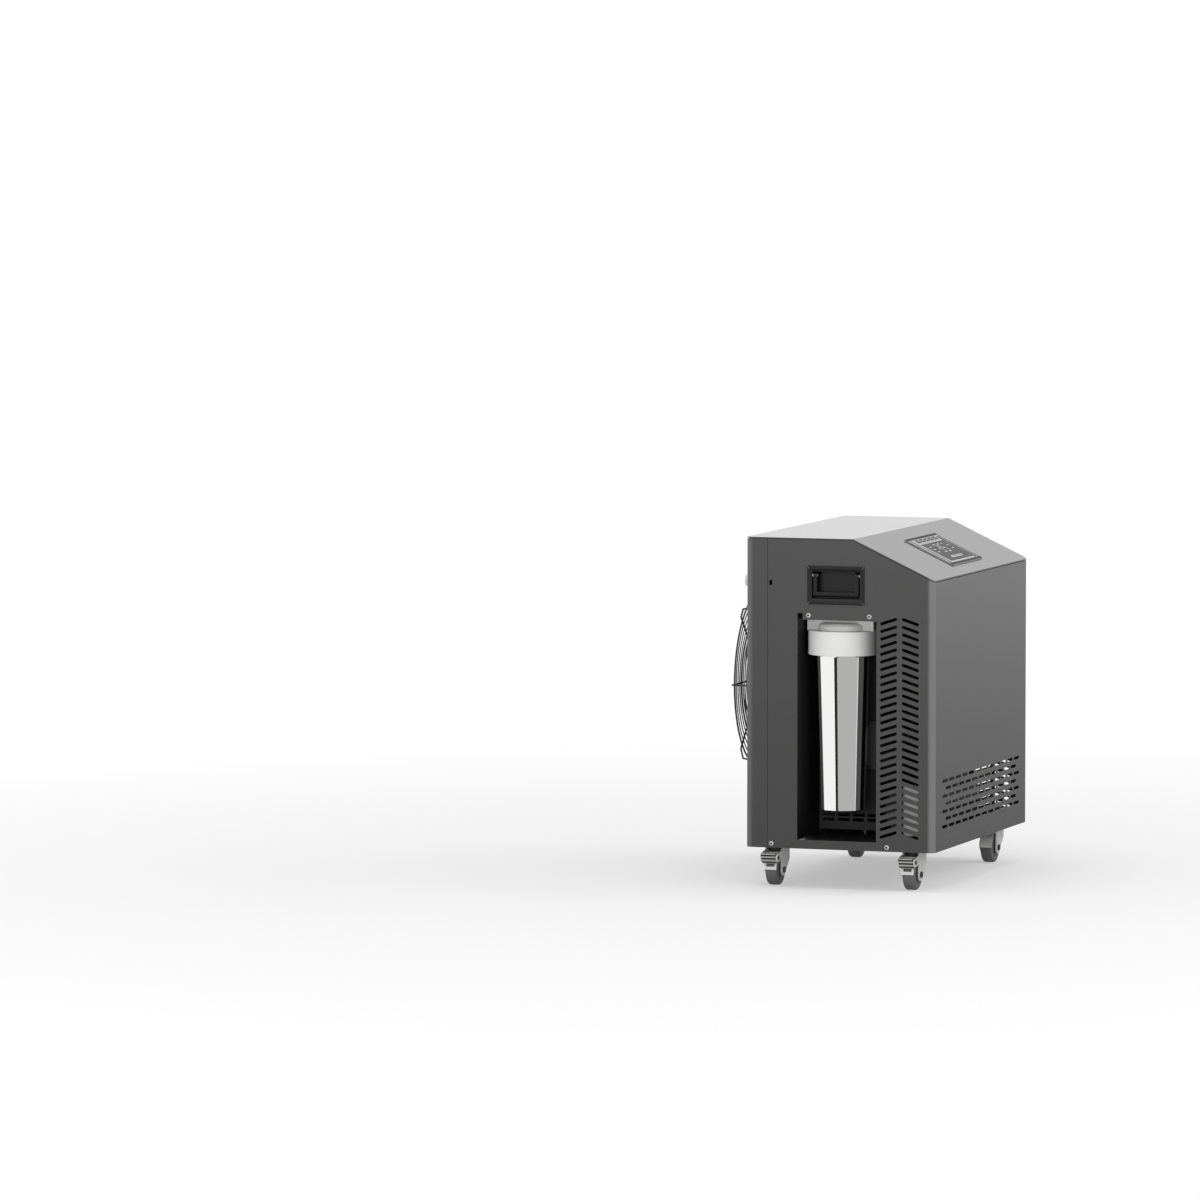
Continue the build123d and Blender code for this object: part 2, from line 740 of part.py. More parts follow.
with BuildPart() as guard_stays:
    short_stay = [
        (collar_inner, stay_top),
        (corner_reach - 2, stay_top),
        (corner_reach, stay_top - 2),
        (rim_reach, 0),
        (rim_reach - stay_width, 0),
        (corner_reach - stay_width, stay_bottom),
        (collar_inner, stay_bottom),
    ]
    long_stay = [
        (collar_inner, stay_top),
        (corner_reach, stay_top),
        ((corner_reach + foot_reach) / 2 + 2, stay_top - 9),
        (stay_end, guard_foot_sheet / 2),
        (stay_end - stay_width, guard_foot_sheet / 2),
        ((corner_reach + foot_reach) / 2, stay_bottom - 9),
        (corner_reach - 1, stay_bottom),
        (collar_inner, stay_bottom),
    ]
    for number in range(8):
        about_axis = Location((0, 0, 0), (0, 0, number * 45))
        on_edge = Location((0, 0, 0), (90, 0, 0))
        with BuildSketch(Plane(Location(guard_plane) * about_axis * on_edge)):
            with BuildLine():
                Polyline(*(long_stay if number % 2 else short_stay), close=True)
            make_face()
        extrude(amount=stay_width / 2, both=True)

with BuildPart() as fan_guard:
    add(guard_hoops.part)
    add(guard_stays.part)
    for x, z in guard_feet:
        disc(facing_rear(x, y_rear, z), guard_foot_radius, guard_foot_sheet)
        disc(facing_rear(x, y_rear - 1, z), screw_radius + running_gap, guard_foot_sheet + 8, Mode.SUBTRACT)
save(fan_guard, "fan_guard")

with BuildPart() as fan_motor:
    motor_y = y_rear + motor_stand_off
    disc(facing_rear(fan_x, motor_y, fan_z), motor_radius, motor_length)
    disc(facing_rear(fan_x, motor_y + motor_length, fan_z), motor_radius * 0.4, motor_cap)
    shaft_length = fan_hub_gap + fan_hub_length + 1
    disc(facing_rear(fan_x, motor_y - shaft_length, fan_z), motor_shaft_radius, shaft_length)
save(fan_motor, "fan_motor")

blade_tip_radius = fan_opening_radius - blade_tip_gap
with BuildPart() as fan_blades:
    hub_y = motor_y - fan_hub_gap - fan_hub_length
    hub_plane = facing_rear(fan_x, hub_y, fan_z)
    disc(hub_plane, fan_hub_radius, fan_hub_length)
    for number in range(blade_count):
        turn = (
            Location(hub_plane.offset(fan_hub_length / 2))
            * Location((0, 0, 0), (0, 0, number * 360 / blade_count))
            * Location((0, 0, 0), (blade_pitch, 0, 0))
        )
        with BuildSketch(Plane(turn)):
            with BuildLine():
                Polyline(
                    (fan_hub_radius - 4, -17),
                    (blade_tip_radius + 4, -36),
                    (blade_tip_radius + 4, 26),
                    (fan_hub_radius - 4, 15),
                    close=True,
                )
            make_face()
        extrude(amount=blade_sheet / 2, both=True)
    disc(hub_plane.offset(-20), blade_tip_radius, fan_hub_length + 40, Mode.INTERSECT)
    disc(hub_plane.offset(-1), motor_shaft_radius + running_gap, fan_hub_length + 2, Mode.SUBTRACT)
save(fan_blades, "fan_blades")

# Control panel: bezel, window, keys and the board under them
with BuildPart() as control_bezel:
    with BuildSketch(panel_plane):
        RectangleRounded(panel_width, panel_height, 2)
    extrude(amount=panel_plate)
    with BuildSketch(panel_plane.offset(-skirt_depth)):
        Rectangle(skirt_width, skirt_height)
        Rectangle(skirt_width - 2 * skirt_wall, skirt_height - 2 * skirt_wall, mode=Mode.SUBTRACT)
    extrude(amount=skirt_depth)
    with BuildSketch(panel_plane.offset(panel_plate)):
        with Locations((0, window_shift)):
            Rectangle(window_width, window_height)
    extrude(amount=-window_sheet, mode=Mode.SUBTRACT)
    with BuildSketch(panel_plane):
        with Locations((0, window_shift)):
            Rectangle(window_width - 8, window_height - 8)
        with Locations((0, key_shift)):
            with GridLocations(key_pitch, 1, key_count, 1):
                Rectangle(key_width + 2 * key_gap, key_height + 2 * key_gap)
    extrude(amount=panel_plate, mode=Mode.SUBTRACT)
save(control_bezel, "control_bezel")

with BuildPart() as display_window:
    with BuildSketch(panel_plane.offset(panel_plate - window_sheet)):
        with Locations((0, window_shift)):
            Rectangle(window_width - 0.4, window_height - 0.4)
    extrude(amount=window_sheet)
save(display_window, "display_window")

key_flange = 1.2
key_flange_edge = 1.5
key_foot = -3.0
for number in range(key_count):
    key_x = (number - (key_count - 1) / 2) * key_pitch
    with BuildPart() as key:
        with BuildSketch(panel_plane.offset(key_foot)):
            with Locations((key_x, key_shift)):
                Rectangle(key_width, key_height)
        extrude(amount=panel_plate + key_proud - key_foot)
        key_top = key.faces().sort_by(Axis(panel_plane.origin, panel_plane.z_dir))[-1]
        fillet(key_top.edges(), 0.3)
        with BuildSketch(panel_plane.offset(-0.1)):
            with Locations((key_x, key_shift)):
                Rectangle(key_width + 2 * key_flange_edge, key_height + 2 * key_flange_edge)
        extrude(amount=-key_flange)
    save(key, f"key_{number + 1}")

board_top = key_foot - key_travel - 0.4
with BuildPart() as control_board:
    board_plane = panel_plane.offset(board_top - 2)
    with BuildSketch(board_plane):
        Rectangle(skirt_width - 2 * skirt_wall - 0.4, skirt_height - 2 * skirt_wall - 0.4)
    extrude(amount=-board_sheet)
    with BuildSketch(board_plane):
        with Locations((0, key_shift)):
            with GridLocations(key_pitch, 1, key_count, 1):
                Circle(2.5)
    extrude(amount=2)
    with BuildSketch(board_plane):
        with Locations((0, window_shift)):
            Rectangle(window_width - 10, window_height - 10)
    extrude(amount=panel_plate - window_sheet - board_top + 2)
save(control_board, "control_board")

# Rear fittings
with BuildPart() as water_ports:
    for x in port_x:
        outside = facing_rear(x, y_rear, z_base + port_height)
        disc(outside, port_flange_radius, port_flange)
        disc(outside.offset(-sheet - port_stub), port_radius, port_length + sheet + port_stub)
        disc(outside.offset(port_length - port_bore_depth), port_bore, port_bore_depth + 1, Mode.SUBTRACT)
save(water_ports, "water_ports")

inlet_z = z_base + inlet_height
rocker_z = inlet_z + inlet_tall / 2 - 14
socket_z = inlet_z - 12
rocker_y = y_rear - rocker_sink
with BuildPart() as power_inlet:
    block(
        (inlet_x - inlet_width / 2, inlet_x + inlet_width / 2),
        (y_rear, y_rear + 3),
        (inlet_z - inlet_tall / 2, inlet_z + inlet_tall / 2),
    )
    block(
        (inlet_x - inlet_width / 2 + 5, inlet_x + inlet_width / 2 - 5),
        (y_rear - 24, y_rear),
        (inlet_z - inlet_tall / 2 + 5, inlet_z + inlet_tall / 2 - 5),
    )
    socket_x = (inlet_x - 12, inlet_x + 12)
    block(socket_x, (y_rear - 14, y_rear + 4), (socket_z - 8, socket_z + 8), mode=Mode.SUBTRACT)
    for step in (-7, 0, 7):
        lift = 2.5 if step == 0 else -2.5
        blade_z = (socket_z + lift - 2, socket_z + lift + 2)
        block((inlet_x + step - 1, inlet_x + step + 1), (y_rear - 15, y_rear), blade_z)
    rocker_x = (inlet_x - rocker_width / 2 - 0.3, inlet_x + rocker_width / 2 + 0.3)
    rocker_well_z = (rocker_z - rocker_height / 2 - 1.2, rocker_z + rocker_height / 2 + 1.2)
    block(rocker_x, (y_rear - 9, y_rear + 4), rocker_well_z, mode=Mode.SUBTRACT)
    rocker_bore = facing_right(rocker_x[0] - rocker_pin_length, rocker_y, rocker_z)
    bore_length = rocker_x[1] - rocker_x[0] + 2 * rocker_pin_length
    disc(rocker_bore, rocker_pin_radius + running_gap, bore_length, Mode.SUBTRACT)
save(power_inlet, "power_inlet")

with BuildPart() as power_switch:
    tilt = radians(rocker_tilt)
    pivot = facing_right(inlet_x - rocker_width / 2, rocker_y, rocker_z)
    tipped = Plane(origin=pivot.origin, x_dir=(0, cos(tilt), -sin(tilt)), z_dir=(1, 0, 0))
    with BuildSketch(tipped):
        with BuildLine():
            Polyline(
                (-2.5, -3.0),
                (2.5, -rocker_height / 2),
                (5.0, -rocker_height / 2),
                (4.2, 0),
                (5.0, rocker_height / 2),
                (2.5, rocker_height / 2),
                (-2.5, 3.0),
                close=True,
            )
        make_face()
    extrude(amount=rocker_width)
    stub = rocker_pin_length - 0.2
    disc(pivot.offset(-stub), rocker_pin_radius, rocker_width + 2 * stub)
save(power_switch, "power_switch")

# Condenser: a finned core between two end plates that stand on the pan
condenser_x = (fan_x - condenser_length / 2, fan_x + condenser_length / 2)
condenser_y = (y_rear - condenser_from_rear - condenser_depth, y_rear - condenser_from_rear)
core_z = (pan_top + condenser_foot, z_base + condenser_top)
with BuildPart() as condenser:
    block(condenser_x, condenser_y, core_z)
    for x in condenser_x:
        block((x - 1, x + 1), (condenser_y[0] - 2, condenser_y[1] + 2), (pan_top, core_z[1] + 6))
save(condenser, "condenser")

# Compressor on rubber feet
compressor_y = y_rear - compressor_from_rear
compressor_z = pan_top + compressor_foot
plate_length = 2 * (compressor_radius + 3)
plate_width = 2 * (compressor_radius - 12)
foot_x = plate_length / 2 - compressor_foot_radius - 3
foot_y = plate_width / 2 - compressor_foot_radius - 3
feet = [(compressor_x + a * foot_x, compressor_y + b * foot_y) for a in (-1, 1) for b in (-1, 1)]
with BuildPart() as compressor:
    disc(facing_up(compressor_x, compressor_y, compressor_z + 2), compressor_radius, compressor_height)
    fillet(compressor.edges().filter_by(GeomType.CIRCLE).sort_by(Axis.Z)[-1], compressor_round)
    inside_height = compressor_height - 2 * compressor_shell
    inside = facing_up(compressor_x, compressor_y, compressor_z + 2 + compressor_shell)
    with BuildSketch(inside):
        Circle(compressor_radius - compressor_shell)
    with BuildSketch(inside.offset(inside_height)):
        Circle(compressor_radius - compressor_round)
    loft(mode=Mode.SUBTRACT)
    disc(inside, compressor_radius * 0.65, compressor_height * 0.6)
    with BuildSketch(facing_up(compressor_x, compressor_y, compressor_z)):
        RectangleRounded(plate_length, plate_width, compressor_foot_radius + 4)
    extrude(amount=2.5)
save(compressor, "compressor")

with BuildPart() as compressor_feet:
    for x, y in feet:
        disc(facing_up(x, y, pan_top), compressor_foot_radius, compressor_foot)
save(compressor_feet, "compressor_feet")

# Heat exchanger: a pale shell lying behind the front slots, on two saddles
exchanger_y = y_front + exchanger_from_front
exchanger_z = z_base + exchanger_height
exchanger_left = x_left + exchanger_inset
exchanger_right = compressor_x - compressor_radius - exchanger_clearance
saddle_top = exchanger_z - exchanger_radius * 0.7
exchanger_in_x = pump_port_x
exchanger_out_x = port_x[1]
with BuildPart() as heat_exchanger:
    shell_start = facing_right(exchanger_left, exchanger_y, exchanger_z)
    disc(shell_start, exchanger_radius, exchanger_right - exchanger_left)
    fillet(heat_exchanger.edges().filter_by(GeomType.CIRCLE), 5)
    for x in (exchanger_left + saddle_inset, exchanger_right - saddle_inset):
        saddle_x = (x - saddle_width / 2, x + saddle_width / 2)
        saddle_y = (exchanger_y - saddle_depth / 2, exchanger_y + saddle_depth / 2)
        block(saddle_x, saddle_y, (pan_top, saddle_top))
    side_start = facing_rear(exchanger_in_x, exchanger_y, exchanger_z)
    disc(side_start, hose_radius + hose_collar, exchanger_radius + hose_collar)
    top_start = facing_up(exchanger_out_x, exchanger_y, exchanger_z)
    disc(top_start, hose_radius + hose_collar, exchanger_radius + hose_collar)
save(heat_exchanger, "heat_exchanger")


def tube(points, bends, radius):
    """A round tube along straight runs joined by bends, in the part being made."""
    with BuildLine() as path:
        FilletPolyline(*points, radius=bends)
    with BuildSketch(Plane(origin=path.wire() @ 0, z_dir=path.wire() % 0)) as section:
        Circle(radius)
    sweep(section.sketch, path=path.wire())


pipe_bend = 16.0
condenser_end = condenser_x[1] + 1
condenser_mid_y = (condenser_y[0] + condenser_y[1]) / 2
compressor_top = compressor_z + 2 + compressor_height
riser_x = compressor_x + riser_offset
riser_z = compressor_top + riser_height
liquid_x = exchanger_right + liquid_offset
liquid_z = exchanger_z + liquid_rise
liquid_y = condenser_y[0] - liquid_offset
with BuildPart() as refrigerant_pipes:
    tube(
        [
            (riser_x, compressor_y, compressor_top),
            (riser_x, compressor_y, riser_z),
            (riser_x, condenser_mid_y, riser_z),
            (condenser_end, condenser_mid_y, riser_z),
        ],
        pipe_bend,
        pipe_radius,
    )
    tube(
        [
            (liquid_x, condenser_y[0], liquid_z),
            (liquid_x, liquid_y, liquid_z),
            (liquid_x, liquid_y, exchanger_z),
            (liquid_x, exchanger_y, exchanger_z),
            (exchanger_right, exchanger_y, exchanger_z),
        ],
        pipe_bend,
        pipe_radius,
    )
    drier_plane = facing_rear(liquid_x, (liquid_y + exchanger_y - drier_length) / 2, exchanger_z)
    disc(drier_plane, drier_radius, drier_length)
    suction_y = exchanger_y - 14
    suction_z = exchanger_z + 22
    tube(
        [
            (exchanger_right, suction_y, suction_z),
            (compressor_x, suction_y, suction_z),
            (compressor_x, compressor_y - compressor_radius, suction_z),
        ],
        pipe_bend,
        pipe_radius + 1,
    )
save(refrigerant_pipes, "refrigerant_pipes")

hose_bend = 14.0
block_end = head_radius - 1.5
hose_rise_y = liner_y[1] + 14
hose_turn_y = liner_y[0] - 18
port_z = z_base + port_height
port_inside_y = y_rear - sheet - port_stub
with BuildPart() as water_hoses:
    tube(
        [
            (filter_x, filter_y + block_end, filter_port_z),
            (filter_x, hose_rise_y, filter_port_z),
            (filter_x, hose_rise_y, port_z),
            (port_x[0], port_inside_y, port_z),
        ],
        10,
        hose_radius,
    )
    tube(
        [
            (filter_x, filter_y - block_end, filter_port_z),
            (filter_x, hose_turn_y, filter_port_z),
            (pump_port_x, hose_turn_y, filter_port_z),
            (pump_port_x, hose_turn_y, pump_inlet_z),
            (pump_port_x, pump_y - pump_radius, pump_inlet_z),
        ],
        hose_bend,
        hose_radius,
    )
    tube(
        [
            (pump_port_x, pump_y, pump_z - pump_radius - 4),
            (pump_port_x, pump_y, exchanger_z),
            (pump_port_x, exchanger_y + exchanger_radius + hose_collar, exchanger_z),
        ],
        hose_bend,
        hose_radius,
    )
    tube(
        [
            (exchanger_out_x, exchanger_y, exchanger_z + exchanger_radius + hose_collar),
            (exchanger_out_x, exchanger_y, port_z),
            (exchanger_out_x, port_inside_y, port_z),
        ],
        40,
        hose_radius,
    )
save(water_hoses, "water_hoses")

# Pan-head screws: two at the foot of each end, two for the filter bracket, four on the fan guard
with BuildPart() as case_screws:
    for side in (-1, 1):
        for y in low_screw_y:
            seat = facing_right(side * body_length / 2, y, low_screw_z)
            disc(seat, screw_head_radius, side * screw_head_height)
            disc(seat, screw_radius, -side * screw_length)
    for y in bracket_screw_y:
        seat = facing_right(x_left, y, bracket_screw_z)
        disc(seat, screw_head_radius, -screw_head_height)
        disc(seat, screw_radius, screw_length)
    for x, z in guard_feet:
        seat = facing_rear(x, y_rear + guard_foot_sheet, z)
        disc(seat, screw_head_radius, screw_head_height)
        disc(seat, screw_radius, -screw_length)
save(case_screws, "case_screws")

# Casters
axle_z = wheel_radius
crown_z = (2 * wheel_radius + crown_gap, 2 * wheel_radius + crown_gap + crown_sheet)
fork_top = z_base - fork_top_gap
stem_bottom = crown_z[1] + fit_gap
corners = [
    ("rear_left", stem_x[0], stem_y[1], True),
    ("front_left", stem_x[0], stem_y[0], True),
    ("rear_right", stem_x[1], stem_y[1], False),
    ("front_right", stem_x[1], stem_y[0], False),
]

with BuildPart() as caster_stems:
    for name, x, y, braked in corners:
        disc(facing_up(x, y, stem_bottom), stem_radius, z_base - stem_bottom)
        disc(facing_up(x, y, crown_z[0] - 0.2), spindle_radius, stem_bottom - crown_z[0] + 0.4)
        disc(facing_up(x, y, crown_z[0] - 1.2), spindle_radius + 2.5, 1.0)
        disc(facing_up(x, y, z_base), spindle_radius + 1, pan_sheet + 9)
        with BuildSketch(facing_up(x, y, pan_top)):
            RegularPolygon(9, 6)
        extrude(amount=7)
save(caster_stems, "caster_stems")


def cheek(x, y, circles):
    """Outline drawn round a few circles, on the plane of one side of a fork."""
    with BuildSketch(Plane(origin=(x, y, 0), x_dir=(1, 0, 0), z_dir=(0, -1, 0))) as side_view:
        for place, radius in circles:
            with Locations(place):
                Circle(radius)
        make_hull()
    return side_view.sketch


guard_inner = wheel_radius + guard_gap
guard_outer = guard_inner + guard_sheet
leg_circles = [
    ((0, axle_z), 10),
    ((-4, fork_top - 5), 5),
    ((26, fork_top - 5), 5),
    ((27, fork_top - 20), 4),
]
pedal_pin_x = -wheel_radius - pedal_pin_reach
pedal_pin_z = wheel_radius + pedal_pin_rise
ear_circles = [((pedal_pin_x, pedal_pin_z), 7), ((-3, pedal_pin_z + 5), 7)]
toe_reach = 9.35
toe_angle = radians(-57.2)
toe_half_width = 6.0
pedal_half_width = fork_gap - 0.45

for name, x, y, braked in corners:
    wheel_x = x - caster_trail
    axle_plane = facing_rear(wheel_x, y, axle_z)
    pin_plane = facing_rear(wheel_x + pedal_pin_x, y, pedal_pin_z)
    cheek_half = fork_gap + fork_sheet
    with BuildPart() as fork:
        for outline in (leg_circles, ear_circles) if braked else (leg_circles,):
            extrude(cheek(wheel_x, y - fork_gap, outline), amount=fork_sheet)
            extrude(cheek(wheel_x, y + fork_gap, outline), amount=-fork_sheet)
        block((wheel_x - 8, wheel_x + 30), (y - fork_gap - 0.5, y + fork_gap + 0.5), crown_z)
        with BuildSketch(Plane(origin=(wheel_x, y, 0), x_dir=(1, 0, 0), z_dir=(0, -1, 0))):
            with Locations((0, axle_z)):
                Circle(guard_outer)
                Circle(guard_inner, mode=Mode.SUBTRACT)
            with Locations((-4, axle_z + 2)):
                Rectangle(guard_outer, guard_outer, align=(Align.MAX, Align.MIN), mode=Mode.INTERSECT)
        extrude(amount=wheel_width / 2 + 0.5, both=True)
        disc(facing_up(x, y, crown_z[0] - 1), spindle_radius + running_gap, crown_sheet + 2, Mode.SUBTRACT)
        disc(axle_plane.offset(-cheek_half - 1), axle_radius + 0.02, 2 * cheek_half + 2, Mode.SUBTRACT)
        if braked:
            pin_hole = pin_plane.offset(-cheek_half - 1)
            disc(pin_hole, pedal_pin_radius + 0.02, 2 * cheek_half + 2, Mode.SUBTRACT)
            toe_slot_x = (wheel_x - guard_outer - 1, wheel_x - 14)
            slot_half = toe_half_width + 1
            block(toe_slot_x, (y - slot_half, y + slot_half), (axle_z + 7, axle_z + 26), mode=Mode.SUBTRACT)
    save(fork, f"{name}_fork")

    with BuildPart() as axle:
        bolt_half = cheek_half + 0.1
        disc(axle_plane.offset(-bolt_half - 2), axle_radius, 2 * bolt_half + 4)
        for way in (-1, 1):
            disc(axle_plane.offset(way * bolt_half), 5, way * 2.2)
        if braked:
            disc(pin_plane.offset(-bolt_half - 1), pedal_pin_radius, 2 * bolt_half + 2)
            for way in (-1, 1):
                disc(pin_plane.offset(way * bolt_half), 3.2, way * 1.2)
    save(axle, f"{name}_axle")

    wheel_plane = Plane(origin=(wheel_x, y, axle_z), x_dir=(1, 0, 0), z_dir=(0, 0, 1))
    with BuildPart() as tyre:
        with BuildSketch(wheel_plane) as section:
            with Locations(((hub_radius + wheel_radius) / 2, 0)):
                Rectangle(wheel_radius - hub_radius, wheel_width)
            fillet(section.vertices().group_by(Axis.X)[-1], wheel_shoulder)
        revolve(axis=Axis((wheel_x, y, axle_z), (0, 1, 0)))
    save(tyre, f"{name}_tyre")

    with BuildPart() as hub:
        hub_half = wheel_width / 2 + hub_proud
        disc(axle_plane.offset(-hub_half), hub_radius - 0.02, 2 * hub_half)
        disc(axle_plane.offset(-hub_half - 1), axle_radius + running_gap, 2 * hub_half + 2, Mode.SUBTRACT)
    save(hub, f"{name}_hub")

    if braked:
        pedal_plane = Plane(origin=pin_plane.origin, x_dir=(1, 0, 0), z_dir=(0, -1, 0))
        with BuildPart() as pedal:
            with BuildSketch(pedal_plane):
                Circle(4.5)
            extrude(amount=pedal_half_width, both=True)
            with BuildSketch(pedal_plane):
                with Locations((-11.5, 6.0), (-1.5, -8.0)):
                    Circle(1.5)
                make_hull()
            extrude(amount=pedal_half_width, both=True)
            with BuildSketch(pedal_plane):
                for place in (0.2, 0.8):
                    with Locations((-11.5 + place * 10 - 1.2, 6.0 - place * 14 - 0.9)):
                        Circle(1.3)
            extrude(amount=pedal_half_width, both=True)
            with BuildSketch(pedal_plane):
                Circle(2.5)
                with Locations((toe_reach * cos(toe_angle), toe_reach * sin(toe_angle))):
                    Circle(2)
                make_hull()
            extrude(amount=toe_half_width, both=True)
            pin_bore = pin_plane.offset(-pedal_half_width - 1)
            disc(pin_bore, pedal_pin_radius + running_gap, 2 * pedal_half_width + 2, Mode.SUBTRACT)
        save(pedal, f"{name}_pedal")
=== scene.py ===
from math import cos, pi, radians, sin

import bmesh
import bpy
from mathutils import Matrix, Vector


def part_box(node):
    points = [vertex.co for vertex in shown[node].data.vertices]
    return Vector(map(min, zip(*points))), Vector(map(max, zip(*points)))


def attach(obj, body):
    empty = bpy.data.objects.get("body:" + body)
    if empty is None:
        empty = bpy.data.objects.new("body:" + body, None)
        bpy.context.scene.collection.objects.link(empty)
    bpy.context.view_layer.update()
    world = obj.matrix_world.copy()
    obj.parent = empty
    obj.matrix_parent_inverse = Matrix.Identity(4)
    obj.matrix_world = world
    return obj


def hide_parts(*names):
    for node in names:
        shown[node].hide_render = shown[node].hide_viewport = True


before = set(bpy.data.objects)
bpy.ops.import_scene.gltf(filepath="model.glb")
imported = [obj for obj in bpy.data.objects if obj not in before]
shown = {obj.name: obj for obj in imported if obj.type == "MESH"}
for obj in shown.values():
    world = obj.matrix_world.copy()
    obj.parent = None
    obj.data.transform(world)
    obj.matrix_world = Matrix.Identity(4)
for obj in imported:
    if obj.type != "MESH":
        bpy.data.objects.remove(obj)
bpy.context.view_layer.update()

# Camera
# A long lens about fourteen metres away, turned to the open end of the chiller and a little
# above it, so that the top of the case is only just seen.


def in_scene(name, data):
    """A new object that holds the data, linked to the scene."""
    item = bpy.data.objects.new(name, data)
    bpy.context.scene.collection.objects.link(item)
    return item


lens_camera = bpy.data.cameras.new("studio_camera")
lens_camera.sensor_width = 36.0
lens_camera.lens = 258.83
lens_camera.clip_end = 400.0
camera = in_scene("studio_camera", lens_camera)
camera.location = (-13.5125, -4.2319, 1.559)
view_azimuth, view_elevation = radians(-70.82), radians(4.48)
level = cos(view_elevation)
toward = Vector((-sin(view_azimuth) * level, cos(view_azimuth) * level, -sin(view_elevation)))
camera.rotation_euler = toward.to_track_quat("-Z", "Y").to_euler()
bpy.context.scene.camera = camera
bpy.context.scene.view_settings.view_transform = "Standard"

# Studio
# A white room and a pale floor. Soft lights stand before the front, at the open end, near the
# corner between the two and overhead, and small cards at the mouth of the filter bay, where
# only polished metal picks them up.


def set_or_link(tree, target, value):
    """Give a node's input a plain value, or join it to another node's output."""
    if isinstance(value, bpy.types.NodeSocket):
        tree.links.new(value, target)
    else:
        target.default_value = value


def maths(tree, operation, *values):
    """One maths node and its result."""
    node = tree.nodes.new("ShaderNodeMath")
    node.operation = operation
    for target, value in zip(node.inputs, values):
        set_or_link(tree, target, value)
    return node.outputs["Value"]


def ranged(tree, value, start, stop, first=0.0, last=1.0):
    """A value that runs from first to last while its source runs from start to stop."""
    node = tree.nodes.new("ShaderNodeMapRange")
    node.inputs["From Min"].default_value = start
    node.inputs["From Max"].default_value = stop
    node.inputs["To Min"].default_value = first
    node.inputs["To Max"].default_value = last
    tree.links.new(value, node.inputs["Value"])
    return node.outputs["Result"]


def mixed(tree, share, first, second):
    """Two shaders mixed by the share of the second."""
    node = tree.nodes.new("ShaderNodeMixShader")
    tree.links.new(share, node.inputs["Fac"])
    tree.links.new(first, node.inputs[1])
    tree.links.new(second, node.inputs[2])
    return node.outputs["Shader"]


def lay_floor():
    """A round pale floor that keeps the shadow and fades to the room's white at its rim."""
    floor_radius, fade_start, seen_fade, mirrored_fade = 9.0, 0.25, 2.2, 6.5
    mesh = bpy.data.meshes.new("studio_floor")
    form = bmesh.new()
    bmesh.ops.create_circle(form, cap_ends=True, radius=floor_radius, segments=64)
    form.to_mesh(mesh)
    form.free()
    floor = in_scene("studio_floor", mesh)
    paint = bpy.data.materials.new("studio_floor")
    paint.use_nodes = True
    tree = paint.node_tree
    tree.nodes.clear()
    output = tree.nodes.new("ShaderNodeOutputMaterial")
    matte = tree.nodes.new("ShaderNodeBsdfDiffuse")
    matte.inputs["Color"].default_value = (0.78, 0.78, 0.78, 1)
    white = tree.nodes.new("ShaderNodeEmission")
    white.inputs["Color"].default_value = (1, 1, 1, 1)
    pale = tree.nodes.new("ShaderNodeEmission")
    place = tree.nodes.new("ShaderNodeTexCoord")
    length = tree.nodes.new("ShaderNodeVectorMath")
    length.operation = "LENGTH"
    tree.links.new(place.outputs["Object"], length.inputs[0])
    path = tree.nodes.new("ShaderNodeLightPath")
    whiteness = ranged(tree, length.outputs["Value"], fade_start, seen_fade, 0.42, 1.0)
    share = maths(tree, "MULTIPLY", whiteness, path.outputs["Is Camera Ray"])
    to_eye = mixed(tree, share, matte.outputs["BSDF"], white.outputs["Emission"])
    paleness = ranged(tree, length.outputs["Value"], fade_start, mirrored_fade, 0.28, 0.67)
    tree.links.new(paleness, pale.inputs["Strength"])
    to_gloss = mixed(tree, path.outputs["Is Glossy Ray"], to_eye, pale.outputs["Emission"])
    tree.links.new(to_gloss, output.inputs["Surface"])
    floor.data.materials.append(paint)


def light_room():
    """The world: white to the camera and to gloss, softer to matt surfaces."""
    world = bpy.data.worlds.new("studio_room")
    bpy.context.scene.world = world
    world.use_nodes = True
    tree = world.node_tree
    tree.nodes.clear()
    output = tree.nodes.new("ShaderNodeOutputWorld")
    glows = []
    for strength in (0.55, 1.1):
        glow = tree.nodes.new("ShaderNodeBackground")
        glow.inputs["Color"].default_value = (1, 1, 1, 1)
        glow.inputs["Strength"].default_value = strength
        glows.append(glow.outputs["Background"])
    path = tree.nodes.new("ShaderNodeLightPath")
    seen = maths(tree, "MAXIMUM", path.outputs["Is Camera Ray"], path.outputs["Is Glossy Ray"])
    seen = maths(tree, "MAXIMUM", seen, path.outputs["Is Transmission Ray"])
    tree.links.new(mixed(tree, seen, *glows), output.inputs["Surface"])


def soft_light(name, place, aim, width, height, power):
    """One rectangular soft light that points at a spot."""
    lamp = bpy.data.lights.new(name, "AREA")
    lamp.shape = "RECTANGLE"
    lamp.size, lamp.size_y = width, height
    lamp.energy = power
    holder = in_scene(name, lamp)
    holder.location = place
    holder.rotation_euler = (Vector(aim) - Vector(place)).to_track_quat("-Z", "Y").to_euler()
    holder.visible_glossy = False


